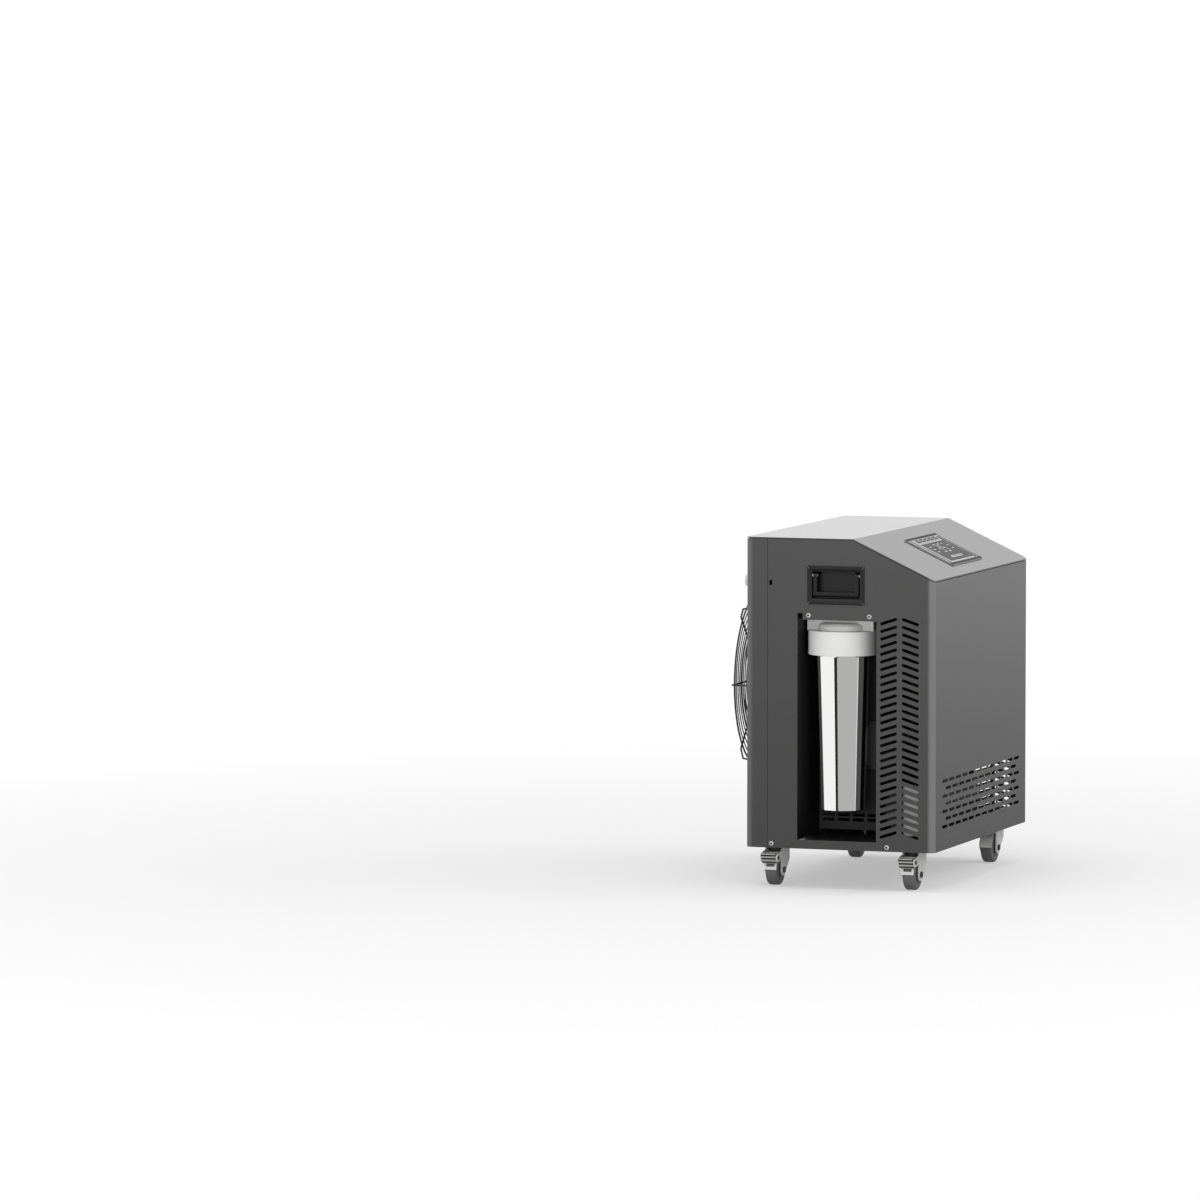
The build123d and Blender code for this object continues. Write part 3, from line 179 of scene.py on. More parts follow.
def gloss_card(name, start, end, foot, head, strength):
    """An upright card that only glossy surfaces see, and only from the side on its left."""
    mesh = bpy.data.meshes.new(name)
    corners = [(*start, foot), (*end, foot), (*end, head), (*start, head)]
    mesh.from_pydata(corners, [], [(3, 2, 1, 0)])
    card = in_scene(name, mesh)
    paper = bpy.data.materials.new(name)
    paper.use_nodes = True
    tree = paper.node_tree
    tree.nodes.clear()
    glow = tree.nodes.new("ShaderNodeEmission")
    glow.inputs["Strength"].default_value = strength
    clear = tree.nodes.new("ShaderNodeBsdfTransparent")
    side = tree.nodes.new("ShaderNodeNewGeometry")
    output = tree.nodes.new("ShaderNodeOutputMaterial")
    one_sided = mixed(tree, side.outputs["Backfacing"], glow.outputs["Emission"], clear.outputs["BSDF"])
    tree.links.new(one_sided, output.inputs["Surface"])
    card.data.materials.append(paper)
    card.visible_camera = card.visible_diffuse = card.visible_shadow = False
    card.visible_transmission = card.visible_volume_scatter = False


lay_floor()
light_room()
soft_light("front_light", (1.2, -3.6, 2.6), (0, 0, 0.25), 2.6, 2.0, 62.0)
soft_light("end_light", (-4.2, 0.1, 0.62), (-0.2, 0, 0.42), 4.2, 0.9, 41.0)
soft_light("corner_light", (-1.9, -1.7, 0.62), (-0.25, 0, 0.36), 1.2, 0.8, 6.0)
soft_light("top_light", (-0.4, 0.3, 3.6), (0, 0, 0.3), 2.4, 2.4, 45.0)

# The cards run round the mouth, from its far side by the opening to its near side.
mouth_x, mouth_near, mouth_far = -0.2640, -0.0955, 0.0375
dark_start, dark_end = -0.0110, -0.0205
card_foot, side_head, front_head = 0.080, 0.436, 0.378
for number, (start, end, head, strength) in enumerate((
    ((-0.190, mouth_far), (-0.226, mouth_far), side_head, 0.05),
    ((-0.226, mouth_far), (mouth_x, mouth_far), side_head, 0.95),
    ((mouth_x, mouth_far), (mouth_x, dark_start), front_head, 0.95),
    ((mouth_x, dark_start), (mouth_x, dark_end), front_head, 0.02),
    ((mouth_x, dark_end), (mouth_x, mouth_near), front_head, 0.46),
    ((mouth_x, mouth_near), (-0.2360, mouth_near), front_head, 0.46),
    ((-0.2360, mouth_near), (-0.2320, mouth_near), front_head, 0.80),
    ((-0.2320, mouth_near), (-0.2000, mouth_near), front_head, 0.07),
)):
    gloss_card(f"gloss_card_{number}", start, end, card_foot, head, strength)

# Case panels and cover
# Folded steel sheet, 1.5 mm thick, powder-coated dark grey with a fine orange-peel grain.
# The end panels wrap round the front corners, the rear panel wraps round both rear corners,
# and screws at the foot of each end hold them.


def grain_group():
    """Shader group: fine grain and slow cloudiness over any moulded or painted surface."""
    group = bpy.data.node_groups.new("surface_grain", "ShaderNodeTree")
    face = group.interface
    for name, kind, value in (
        ("Color", "NodeSocketColor", (0.5, 0.5, 0.5, 1)),
        ("Roughness", "NodeSocketFloat", 0.5),
        ("Grain per metre", "NodeSocketFloat", 900.0),
        ("Cloudiness", "NodeSocketFloat", 0.06),
        ("Dust", "NodeSocketFloat", 0.02),
    ):
        socket = face.new_socket(name, in_out="INPUT", socket_type=kind)
        socket.default_value = value
    face.new_socket("Color", in_out="OUTPUT", socket_type="NodeSocketColor")
    face.new_socket("Roughness", in_out="OUTPUT", socket_type="NodeSocketFloat")
    face.new_socket("Height", in_out="OUTPUT", socket_type="NodeSocketFloat")
    nodes, links = group.nodes, group.links
    given = nodes.new("NodeGroupInput")
    result = nodes.new("NodeGroupOutput")
    place = nodes.new("ShaderNodeTexCoord")
    grain = nodes.new("ShaderNodeTexNoise")
    grain.inputs["Detail"].default_value = 2.0
    cloud = nodes.new("ShaderNodeTexNoise")
    cloud.inputs["Scale"].default_value = 7.0
    cloud.inputs["Detail"].default_value = 3.0
    links.new(place.outputs["Object"], grain.inputs["Vector"])
    links.new(place.outputs["Object"], cloud.inputs["Vector"])
    links.new(given.outputs["Grain per metre"], grain.inputs["Scale"])
    swing = maths(group, "SUBTRACT", cloud.outputs["Fac"], 0.5)
    shift = maths(group, "MULTIPLY_ADD", swing, given.outputs["Cloudiness"], 1.0)
    tint = nodes.new("ShaderNodeVectorMath")
    tint.operation = "SCALE"
    links.new(given.outputs["Color"], tint.inputs[0])
    links.new(shift, tint.inputs["Scale"])
    links.new(tint.outputs["Vector"], result.inputs["Color"])
    dust, rough = given.outputs["Dust"], given.outputs["Roughness"]
    links.new(maths(group, "MULTIPLY_ADD", grain.outputs["Fac"], dust, rough), result.inputs["Roughness"])
    links.new(grain.outputs["Fac"], result.inputs["Height"])
    return group


surface_grain = grain_group()
grain_depth = 0.0004


def finish(name, colour, rough, metal=0.0, grain=900.0, cloudy=0.06, dust=0.05, bump=0.02, specular=0.5):
    """A material with the shared grain group and its own values on the shader."""
    material = bpy.data.materials.new(name)
    material.use_nodes = True
    nodes, links = material.node_tree.nodes, material.node_tree.links
    shader = nodes["Principled BSDF"]
    shader.inputs["Metallic"].default_value = metal
    shader.inputs["Specular IOR Level"].default_value = specular
    feel = nodes.new("ShaderNodeGroup")
    feel.node_tree = surface_grain
    feel.inputs["Color"].default_value = (*colour, 1)
    feel.inputs["Roughness"].default_value = rough
    feel.inputs["Grain per metre"].default_value = grain
    feel.inputs["Cloudiness"].default_value = cloudy
    feel.inputs["Dust"].default_value = dust
    relief = nodes.new("ShaderNodeBump")
    relief.inputs["Strength"].default_value = bump
    relief.inputs["Distance"].default_value = grain_depth
    links.new(feel.outputs["Color"], shader.inputs["Base Color"])
    links.new(feel.outputs["Roughness"], shader.inputs["Roughness"])
    links.new(feel.outputs["Height"], relief.inputs["Height"])
    links.new(relief.outputs["Normal"], shader.inputs["Normal"])
    return material


def dress(material, *nodes):
    """Give CAD nodes their finish."""
    for node in nodes:
        piece = shown[node]
        if not piece.data.materials:
            piece.data.materials.append(material)
        for slot in piece.material_slots:
            slot.material = material


def shaded_point(tree):
    """The X, Y and Z of the point being shaded, in metres in the shared frame."""
    place = tree.nodes.new("ShaderNodeTexCoord")
    parts = tree.nodes.new("ShaderNodeSeparateXYZ")
    tree.links.new(place.outputs["Object"], parts.inputs["Vector"])
    return parts.outputs


def tint_over(material, mask, colour):
    """Lay another colour over a finish as far as the mask says."""
    tree = material.node_tree
    tint = tree.nodes.new("ShaderNodeMix")
    tint.data_type = "RGBA"
    tint.inputs["B"].default_value = (*colour, 1)
    feel = next(node for node in tree.nodes if node.type == "GROUP")
    tree.links.new(mask, tint.inputs["Factor"])
    tree.links.new(feel.outputs["Color"], tint.inputs["A"])
    tree.links.new(tint.outputs["Result"], tree.nodes["Principled BSDF"].inputs["Base Color"])


def coat_with_painted_bend_highlight():
    """Powder coat with a painted highlight: a paler band along each upright bend, weaker at the rear."""
    material = finish("powder_coat", (0.061, 0.061, 0.060), 0.11, grain=1400.0, cloudy=0.10, dust=0.04)
    tree = material.node_tree
    low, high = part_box("left_end_panel")[0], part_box("right_end_panel")[1]
    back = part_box("rear_panel")[1].y
    half_long, half_deep, middle = high.x, (back - low.y) / 2, (back + low.y) / 2
    # The paler band along each upright bend is a painted highlight of the bend, weaker at the rear bends.
    highlight_width, rear_share = 0.013, 0.58
    point = shaded_point(tree)
    from_middle = maths(tree, "ABSOLUTE", maths(tree, "SUBTRACT", point["Y"], middle))
    outward = maths(tree, "ADD", maths(tree, "ABSOLUTE", point["X"]), from_middle)
    near = ranged(tree, outward, half_long + half_deep - highlight_width, half_long + half_deep)
    highlight_ramp = tree.nodes.new("ShaderNodeValToRGB")
    highlight_ramp.color_ramp.interpolation = "EASE"
    highlight_ramp.color_ramp.elements[0].color = (0, 0, 0, 1)
    highlight_ramp.color_ramp.elements[1].color = (0.25, 0.25, 0.25, 1)
    peak = highlight_ramp.color_ramp.elements.new(0.50)
    peak.color = (1, 1, 1, 1)
    tree.links.new(near, highlight_ramp.inputs["Fac"])
    front_to_rear_share = ranged(tree, point["Y"], low.y, back, 1.0, rear_share)
    bend_highlight = maths(tree, "MULTIPLY", highlight_ramp.outputs["Color"], front_to_rear_share)
    tint_over(material, bend_highlight, (0.180, 0.180, 0.178))
    return material


powder_coat = coat_with_painted_bend_highlight()
dress(powder_coat, "base_pan", "left_end_panel", "right_end_panel", "front_panel", "rear_panel",
      "top_cover")

# Filter bay
# A liner of thinner bent sheet, with vent slots low in its back, hung under a steel bracket that is
# screwed to the end panel. The liner's coat is darker than the case paint, as painted shade inside the
# bay; the bracket shares it.


def liner_coat_painted_shade_and_light():
    """Coat of the liner, darker than the case paint as painted shade, with painted light making its back
    wall paler.
    """
    material = finish("bay_coat_painted_shade_and_light", (0.008, 0.008, 0.008), 0.45, grain=1400.0, cloudy=0.12, bump=0.06,
                      specular=0.12)
    tree = material.node_tree
    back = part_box("filter_bay_liner")[1].x
    # The back wall is tinted paler: painted light on it.
    fade_start, fade_end = 0.0060, 0.0025
    depth = ranged(tree, shaded_point(tree)["X"], back - fade_start, back - fade_end)
    tint_over(material, depth, (0.050, 0.050, 0.050))
    return material


bay_coat_painted_shade_and_light = liner_coat_painted_shade_and_light()
dress(bay_coat_painted_shade_and_light, "filter_bay_liner", "filter_bracket")

# Water filter
# A white moulded head, a polished tapered sump that screws up into it on a rubber ring, and
# inside it a cartridge of soft yarn wound crosswise.


def waves(tree, direction, scale, distortion=0.0):
    """Even bands across an axis, from 0 to 1 and back."""
    place = tree.nodes.new("ShaderNodeTexCoord")
    bands = tree.nodes.new("ShaderNodeTexWave")
    bands.bands_direction = direction
    bands.inputs["Scale"].default_value = scale
    bands.inputs["Distortion"].default_value = distortion
    tree.links.new(place.outputs["Object"], bands.inputs["Vector"])
    return bands.outputs["Fac"]


def ridged(material, ridges, depth, strength):
    """Put ridges in place of the fine grain of a finish."""
    relief = material.node_tree.nodes["Bump"]
    relief.inputs["Distance"].default_value = depth
    relief.inputs["Strength"].default_value = strength
    material.node_tree.links.new(ridges, relief.inputs["Height"])


white_plastic = finish("white_plastic", (0.76, 0.76, 0.75), 0.34, grain=500.0, cloudy=0.03, dust=0.04)
dress(white_plastic, "filter_head")
polished_sump = finish("polished_sump", (0.93, 0.93, 0.92), 0.05, metal=1.0, grain=60.0, cloudy=0.02,
                       dust=0.02, bump=0.0)
dress(polished_sump, "filter_sump")
seal_rubber = finish("seal_rubber", (0.02, 0.02, 0.02), 0.6)
dress(seal_rubber, "sump_seal")
wound_cotton = finish("wound_cotton", (0.78, 0.77, 0.72), 0.85, grain=1800.0, cloudy=0.08)
ridged(wound_cotton, waves(wound_cotton.node_tree, "Z", 60.0, 1.5), 0.001, 0.6)
dress(wound_cotton, "filter_cartridge")

# Handles
# Black moulded plates with a deep tub, set into a cut-out of each end panel, and a U-shaped
# bail that folds out on two zinc-plated steel pins. Pale and dark strokes at the mitres of the rim are
# painted highlight and painted shade.
handle_plastic = finish("handle_plastic", (0.0075, 0.0075, 0.0075), 0.32, grain=1100.0, cloudy=0.08,
                        bump=0.05, specular=0.4)
dress(handle_plastic, "handle_plates", "left_handle_bail", "right_handle_bail")
zinc = finish("zinc_plate", (0.66, 0.66, 0.65), 0.34, metal=0.20, grain=420.0, cloudy=0.04, dust=0.06,
              bump=0.01)
dress(zinc, "handle_pins")


def flat_marks(name, marks, material, place, thick, body="case"):
    """Thin bevelled plates on a flat face: (across, up, width, height, turn) of each, in metres.
    The place is a matrix whose axes run across, up and out of that face."""
    bevel_share = 0.3
    form = bmesh.new()
    for across, up, width, height, turn in marks:
        made = bmesh.ops.create_cube(form, size=1.0)["verts"]
        bmesh.ops.scale(form, vec=(width, height, thick), verts=made)
        edges = list(dict.fromkeys(edge for vert in made for edge in vert.link_edges))
        bevel = min(thick, width, height) * bevel_share
        made = bmesh.ops.bevel(form, geom=edges, offset=bevel, segments=1, affect="EDGES",
                               profile=0.5)["verts"]
        spin = Matrix.Rotation(turn, 4, "Z")
        bmesh.ops.transform(form, matrix=Matrix.Translation((across, up, thick / 2)) @ spin, verts=made)
    form.transform(place)
    mesh = bpy.data.meshes.new(name)
    form.to_mesh(mesh)
    form.free()
    mesh.materials.append(material)
    piece = in_scene(name, mesh)
    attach(piece, body)
    return piece


def face_matrix(across, up, out, origin):
    """Placement whose axes run across, up and out of a flat face."""
    place = Matrix((Vector(across), Vector(up), Vector(out))).transposed().to_4x4()
    place.translation = origin
    return place


# Pale and dark strokes on the rim's mitres: painted highlight and painted shade of its bevels.
mitre_painted_highlight = finish("mitre_painted_highlight", (0.12, 0.12, 0.12), 0.40, grain=1100.0)
mitre_painted_shade = finish("mitre_painted_shade", (0.003, 0.003, 0.003), 0.60, grain=1100.0, specular=0.1)
handle_middle = (-0.0273, 0.494)
mitre_out, mitre_up, mitre_turn = 0.0462, 0.0292, radians(52.0)
mitre_long, mitre_wide, mitre_thick = 0.0062, 0.0010, 0.00012
shade_offset = 0.0013
for side, outside in (("left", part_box("handle_plates")[0].x), ("right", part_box("handle_plates")[1].x)):
    out = -1 if side == "left" else 1
    place = face_matrix((0, out, 0), (0, 0, 1), (out, 0, 0), (outside, *handle_middle))
    for tone, material, shift in (("light", mitre_painted_highlight, 0.0), ("dark", mitre_painted_shade, shade_offset)):
        lines = [
            (a * (mitre_out - shift), b * mitre_up, mitre_long, mitre_wide, a * b * mitre_turn)
            for a in (-1, 1) for b in (-1, 1)
        ]
        strokes = flat_marks(f"{side}_handle_mitres_{tone}", lines, material, place, mitre_thick)

# Fan guard
# Flat rings of round wire welded under eight stout wires, in satin black. Four of these bend
# down to a rim on the wall and four run on to screwed feet. A collar carries the fan's motor.
guard_black = finish("guard_black", (0.030, 0.030, 0.031), 0.34, grain=700.0, bump=0.03)
fan_height = 0.317
guard_centre = (0.0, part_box("rear_panel")[1][1], fan_height)
hoop_sides = 112


def socket_id(tree, name):
    """The identifier of a named input of a geometry tree."""
    for item in tree.interface.items_tree:
        if item.name == name and item.in_out == "INPUT":
            return item.identifier


def grow(name, tree, values, seed=None):
    """Run a geometry tree on an empty or a seed mesh, and return its result as a plain mesh."""
    carrier = in_scene(name + "_carrier", seed or bpy.data.meshes.new(name + "_seed"))
    modifier = carrier.modifiers.new("grow", "NODES")
    modifier.node_group = tree
    for key, value in values.items():
        modifier[socket_id(tree, key)] = value
    settled = carrier.evaluated_get(bpy.context.evaluated_depsgraph_get())
    mesh = bpy.data.meshes.new_from_object(settled)
    mesh.name = name
    carrier.modifiers.clear()
    bpy.data.objects.remove(carrier)
    return in_scene(name, mesh)


def smooth_by_angle(piece, degrees=35.0):
    """Shade round forms smooth and keep their corners sharp."""
    mesh = piece.data
    mesh.polygons.foreach_set("use_smooth", [True] * len(mesh.polygons))
    mesh.set_sharp_from_angle(angle=radians(degrees))


def named_tree(name, sockets):
    """An empty geometry tree with its named inputs, and its first and last nodes."""
    tree = bpy.data.node_groups.new(name, "GeometryNodeTree")
    tree.interface.new_socket("Geometry", in_out="INPUT", socket_type="NodeSocketGeometry")
    for socket, kind in sockets:
        tree.interface.new_socket(socket, in_out="INPUT", socket_type="NodeSocket" + kind)
    tree.interface.new_socket("Geometry", in_out="OUTPUT", socket_type="NodeSocketGeometry")
    return tree, tree.nodes.new("NodeGroupInput"), tree.nodes.new("NodeGroupOutput")


def vector(tree, x, y, z):
    """A vector from three numbers or outputs."""
    node = tree.nodes.new("ShaderNodeCombineXYZ")
    for socket, value in zip(node.inputs, (x, y, z)):
        set_or_link(tree, socket, value)
    return node.outputs["Vector"]


def joined(tree, parts):
    """Several geometries as one."""
    node = tree.nodes.new("GeometryNodeJoinGeometry")
    for part in parts:
        tree.links.new(part, node.inputs["Geometry"])
    return node.outputs["Geometry"]


def moved(tree, geometry, shift):
    """A geometry moved by a vector."""
    node = tree.nodes.new("GeometryNodeTransform")
    tree.links.new(geometry, node.inputs["Geometry"])
    tree.links.new(shift, node.inputs["Translation"])
    return node.outputs["Geometry"]


def made_real(tree, geometry):
    """Instances turned into plain geometry."""
    node = tree.nodes.new("GeometryNodeRealizeInstances")
    tree.links.new(geometry, node.inputs["Geometry"])
    return node.outputs["Geometry"]


def coated(tree, geometry, material, where=None):
    """A geometry with its material, on all faces or on the selected ones."""
    node = tree.nodes.new("GeometryNodeSetMaterial")
    tree.links.new(geometry, node.inputs["Geometry"])
    tree.links.new(material, node.inputs["Material"])
    if where is not None:
        tree.links.new(where, node.inputs["Selection"])
    return node.outputs["Geometry"]


def circle(tree, sides, radius=1.0):
    """A round curve about Z."""
    node = tree.nodes.new("GeometryNodeCurvePrimitiveCircle")
    node.inputs["Resolution"].default_value = sides
    set_or_link(tree, node.inputs["Radius"], radius)
    return node.outputs["Curve"]


def round_wire(tree, curve, radius):
    """A solid round wire of a given radius along a curve."""
    wire_sides = 10
    solid = tree.nodes.new("GeometryNodeCurveToMesh")
    solid.inputs["Fill Caps"].default_value = True
    tree.links.new(curve, solid.inputs["Curve"])
    tree.links.new(circle(tree, wire_sides, radius), solid.inputs["Profile Curve"])
    return solid.outputs["Mesh"]


def hoop(tree, radius, rise, wire):
    """A ring of round wire at a height."""
    ring = round_wire(tree, circle(tree, hoop_sides, radius), wire)
    return moved(tree, ring, vector(tree, 0.0, 0.0, rise))


def around(tree, solid, count, first_turn):
    """Copies of a solid turned evenly about Z."""
    posts = tree.nodes.new("GeometryNodePoints")
    posts.inputs["Count"].default_value = count
    turn = tree.nodes.new("GeometryNodeInputIndex")
    step = maths(tree, "MULTIPLY", turn.outputs["Index"], 2 * pi / count)
    fan = tree.nodes.new("GeometryNodeInstanceOnPoints")
    tree.links.new(posts.outputs["Points"], fan.inputs["Points"])
    tree.links.new(solid, fan.inputs["Instance"])
    tree.links.new(vector(tree, 0.0, 0.0, maths(tree, "ADD", step, first_turn)), fan.inputs["Rotation"])
    return fan.outputs["Instances"]


def guard_tree():
    """Geometry tree of the wire guard, drawn about +Z and then stood on the rear wall."""
    tree, given, result = named_tree("wire_guard", (
        ("Rings", "Int"), ("Outer radius", "Float"), ("Ring pitch", "Float"), ("Ring rise", "Float"),
        ("Wire radius", "Float"), ("Stout wire radius", "Float"), ("Collar radius", "Float"),
        ("Rim radius", "Float"), ("Foot reach", "Float"), ("Centre", "Vector"), ("Coat", "Material"),
    ))
    wire, stout = given.outputs["Wire radius"], given.outputs["Stout wire radius"]
    outer, rise = given.outputs["Outer radius"], given.outputs["Ring rise"]
    rim, foot = given.outputs["Rim radius"], given.outputs["Foot reach"]
    pitch = given.outputs["Ring pitch"]

    row = tree.nodes.new("GeometryNodePoints")
    tree.links.new(given.outputs["Rings"], row.inputs["Count"])
    index = tree.nodes.new("GeometryNodeInputIndex").outputs["Index"]
    radius = maths(tree, "SUBTRACT", outer, maths(tree, "MULTIPLY", index, pitch))
    hoops = tree.nodes.new("GeometryNodeInstanceOnPoints")
    tree.links.new(row.outputs["Points"], hoops.inputs["Points"])
    tree.links.new(circle(tree, hoop_sides), hoops.inputs["Instance"])
    tree.links.new(radius, hoops.inputs["Scale"])
    rings = round_wire(tree, made_real(tree, hoops.outputs["Instances"]), wire)
    parts = [moved(tree, rings, vector(tree, 0.0, 0.0, rise))]

    # Three rings are stout, two thin ones tie the stays at their sides, and one lies on the wall.
    for ring in (0.0, 4.0, 8.0):
        inward = maths(tree, "MULTIPLY", pitch, ring)
        parts.append(hoop(tree, maths(tree, "SUBTRACT", outer, inward), rise, stout))
    side_bite = 0.0005
    for share in (1 / 3, 2 / 3):
        lean = maths(tree, "MULTIPLY", maths(tree, "SUBTRACT", rim, outer), share)
        side = maths(tree, "SUBTRACT", maths(tree, "SUBTRACT", rim, lean), side_bite)
        parts.append(hoop(tree, side, maths(tree, "MULTIPLY", rise, share), wire))
    parts.append(hoop(tree, rim, stout, stout))

    # Stays: their points as (distance from the centre, height), four to the rim, four to the feet.
    weld_share, shoulder, knee_drop, knee_share = 0.7, 0.005, 0.0085, 0.5133
    lift = maths(tree, "ADD", wire, maths(tree, "MULTIPLY", stout, weld_share))
    top = maths(tree, "ADD", rise, lift)
    bend = maths(tree, "ADD", outer, shoulder)
    knee = maths(tree, "MULTIPLY", maths(tree, "ADD", bend, foot), knee_share)
    flat = [(given.outputs["Collar radius"], top), (bend, top)]
    for first_turn, points in (
        (0.0, flat + [(rim, stout)]),
        (pi / 4, flat + [(knee, maths(tree, "SUBTRACT", top, knee_drop)), (foot, stout)]),
    ):
        wires = []
        for start, stop in zip(points, points[1:]):
            line = tree.nodes.new("GeometryNodeCurvePrimitiveLine")
            tree.links.new(vector(tree, start[0], 0.0, start[1]), line.inputs["Start"])
            tree.links.new(vector(tree, stop[0], 0.0, stop[1]), line.inputs["End"])
            wires.insert(0, round_wire(tree, line.outputs["Curve"], stout))
        parts.append(around(tree, joined(tree, wires), 4, first_turn))

    # Washers: a flat strip swept round a small circle at each foot.
    washer_radius, washer_width, washer_height = 0.00465, 0.0046, 0.0020
    washer_reach, washer_middle = 0.0067, 0.001
    strip = tree.nodes.new("GeometryNodeCurvePrimitiveQuadrilateral")
    strip.inputs["Width"].default_value = washer_width
    strip.inputs["Height"].default_value = washer_height
    washer = tree.nodes.new("GeometryNodeCurveToMesh")
    tree.links.new(circle(tree, 28, washer_radius), washer.inputs["Curve"])
    tree.links.new(strip.outputs["Curve"], washer.inputs["Profile Curve"])
    seat = vector(tree, maths(tree, "ADD", foot, washer_reach), 0.0, washer_middle)
    parts.append(around(tree, moved(tree, washer.outputs["Mesh"], seat), 4, pi / 4))

    stand = tree.nodes.new("GeometryNodeTransform")
    stand.inputs["Rotation"].default_value = (-pi / 2, 0, 0)
    tree.links.new(joined(tree, parts), stand.inputs["Geometry"])
    tree.links.new(given.outputs["Centre"], stand.inputs["Translation"])
    solid = made_real(tree, stand.outputs["Geometry"])
    tree.links.new(coated(tree, solid, given.outputs["Coat"]), result.inputs["Geometry"])
    return tree


def turned(name, profile, place, axis):
    """A closed ring of revolution: (distance along the axis, radius) pairs turned about an axis."""
    sides, count = 64, len(profile)
    turn = Vector((0, 0, 1)).rotation_difference(Vector(axis)).to_matrix().to_4x4()
    stand = Matrix.Translation(place) @ turn
    points, faces = [], []
    for step in range(sides):
        angle = 2 * pi * step / sides
        here, there = step * count, (step + 1) % sides * count
        for number, (along, radius) in enumerate(profile):
            following = (number + 1) % count
            points.append(stand @ Vector((radius * cos(angle), radius * sin(angle), along)))
            faces.append((here + number, here + following, there + following, there + number))
    mesh = bpy.data.meshes.new(name)
    mesh.from_pydata(points, [], faces)
    piece = in_scene(name, mesh)
    smooth_by_angle(piece)
    return piece


wire_guard = grow("wire_guard", guard_tree(), {
    "Rings": 11,
    "Outer radius": 0.148,
    "Ring pitch": 0.009,
    "Ring rise": 0.0576,
    "Wire radius": 0.0010,
    "Stout wire radius": 0.0015,
    "Collar radius": 0.048,
    "Rim radius": 0.1625,
    "Foot reach": 0.1853,
    "Centre": guard_centre,
    "Coat": guard_black,
})
smooth_by_angle(wire_guard, 50)
guard_collar = turned("guard_collar", [
    (0.0531, 0.0465), (0.0536, 0.0460), (0.0615, 0.0460), (0.0620, 0.0465),
    (0.0620, 0.0495), (0.0615, 0.0500), (0.0536, 0.0500), (0.0531, 0.0495),
], guard_centre, (0, 1, 0))
guard_collar.data.materials.append(guard_black)
for piece in (wire_guard, guard_collar):
    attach(piece, "case")
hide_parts("fan_guard")

# Fan and its motor
# Five pressed blades on a hub, pushed on the shaft of a round motor in dark enamel. The motor
# hangs in the collar of the guard.
motor_enamel = finish("motor_enamel", (0.055, 0.055, 0.058), 0.32, grain=500.0, bump=0.04)
dress(motor_enamel, "fan_motor")
blade_paint = finish("blade_paint", (0.028, 0.028, 0.029), 0.40, grain=500.0, bump=0.04)
dress(blade_paint, "fan_blades")

# Condenser
# A core of thin aluminium fins pressed on copper tubes, upright inside the rear wall. Its
# finish has a ridge about every two millimetres.
fin_scale = 157.0
fin_stack = finish("fin_stack", (0.50, 0.51, 0.52), 0.36, metal=1.0, grain=200.0, cloudy=0.15)
ridged(fin_stack, waves(fin_stack.node_tree, "X", fin_scale), 0.002, 1.0)
dress(fin_stack, "condenser")

# Cooling and water circuit
# A black compressor on rubber feet, aged copper pipes, a dark heat exchanger with a pale foot
# at its port end, a moulded grey pump and black rubber hoses, all inside the case.
dress(finish("gloss_enamel", (0.015, 0.015, 0.015), 0.18, grain=300.0), "compressor")
soft_rubber = finish("soft_rubber", (0.022, 0.022, 0.022), 0.62, bump=0.05)
dress(soft_rubber, "compressor_feet", "water_hoses")


def exchanger_shell():
    """Dark shell with a pale moulded foot to its outer half at the port end."""
    material = finish("exchanger_grey", (0.030, 0.030, 0.031), 0.40, grain=300.0, specular=0.2)
    tree = material.node_tree
    low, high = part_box("heat_exchanger")
    foot_long, past_middle = 0.012, 0.006
    point = shaded_point(tree)
    at_end = maths(tree, "LESS_THAN", point["X"], low.x + foot_long)
    outer_half = maths(tree, "LESS_THAN", point["Y"], (low.y + high.y) / 2 + past_middle)
    tint_over(material, maths(tree, "MULTIPLY", at_end, outer_half), (0.60, 0.60, 0.59))
    return material


dress(exchanger_shell(), "heat_exchanger")
dress(finish("pump_plastic", (0.110, 0.110, 0.112), 0.38, grain=800.0, bump=0.06), "water_pump")
aged_copper = finish("aged_copper", (0.12, 0.065, 0.045), 0.42, metal=0.8, grain=120.0, cloudy=0.3)
dress(aged_copper, "refrigerant_pipes")

# Control panel
# A pale grey moulded frame, set flat on the slope, with a board under it and dark bars at its
# edges as painted shade. It holds a smoked window and, up the slope, five keys, printed with plain ticks.
bezel_plastic = finish("bezel_plastic", (0.30, 0.30, 0.30), 0.30, grain=1200.0, bump=0.05)
dress(bezel_plastic, "control_bezel")
smoked_window = finish("smoked_window", (0.045, 0.045, 0.047), 0.30, grain=200.0, cloudy=0.05, dust=0.02,
                       bump=0.0, specular=0.03)
dress(smoked_window, "display_window")
key_plastic = finish("key_plastic", (0.10, 0.10, 0.10), 0.45, grain=1300.0, bump=0.05, specular=0.05)
dress(key_plastic, *[f"key_{number}" for number in range(1, 6)])
dress(finish("board_green", (0.02, 0.11, 0.05), 0.3), "control_board")
print_and_shade_black = finish("print_and_shade_black", (0.030, 0.030, 0.031), 0.45, bump=0.03, specular=0.05)
print_white = finish("print_white", (0.50, 0.50, 0.49), 0.50, bump=0.0, specular=0.3)
slope_tilt = radians(25.0)
slope_foot, bezel_up_slope = -0.194, 0.073
bezel_half_height, bezel_plate = 0.046, 0.0020
bezel_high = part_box("control_bezel")[1].z
bezel_y = slope_foot + bezel_up_slope * cos(slope_tilt)
bezel_middle = Vector((0.0, bezel_y, bezel_high - bezel_half_height * sin(slope_tilt)))
bezel_middle.y -= bezel_plate * sin(slope_tilt)
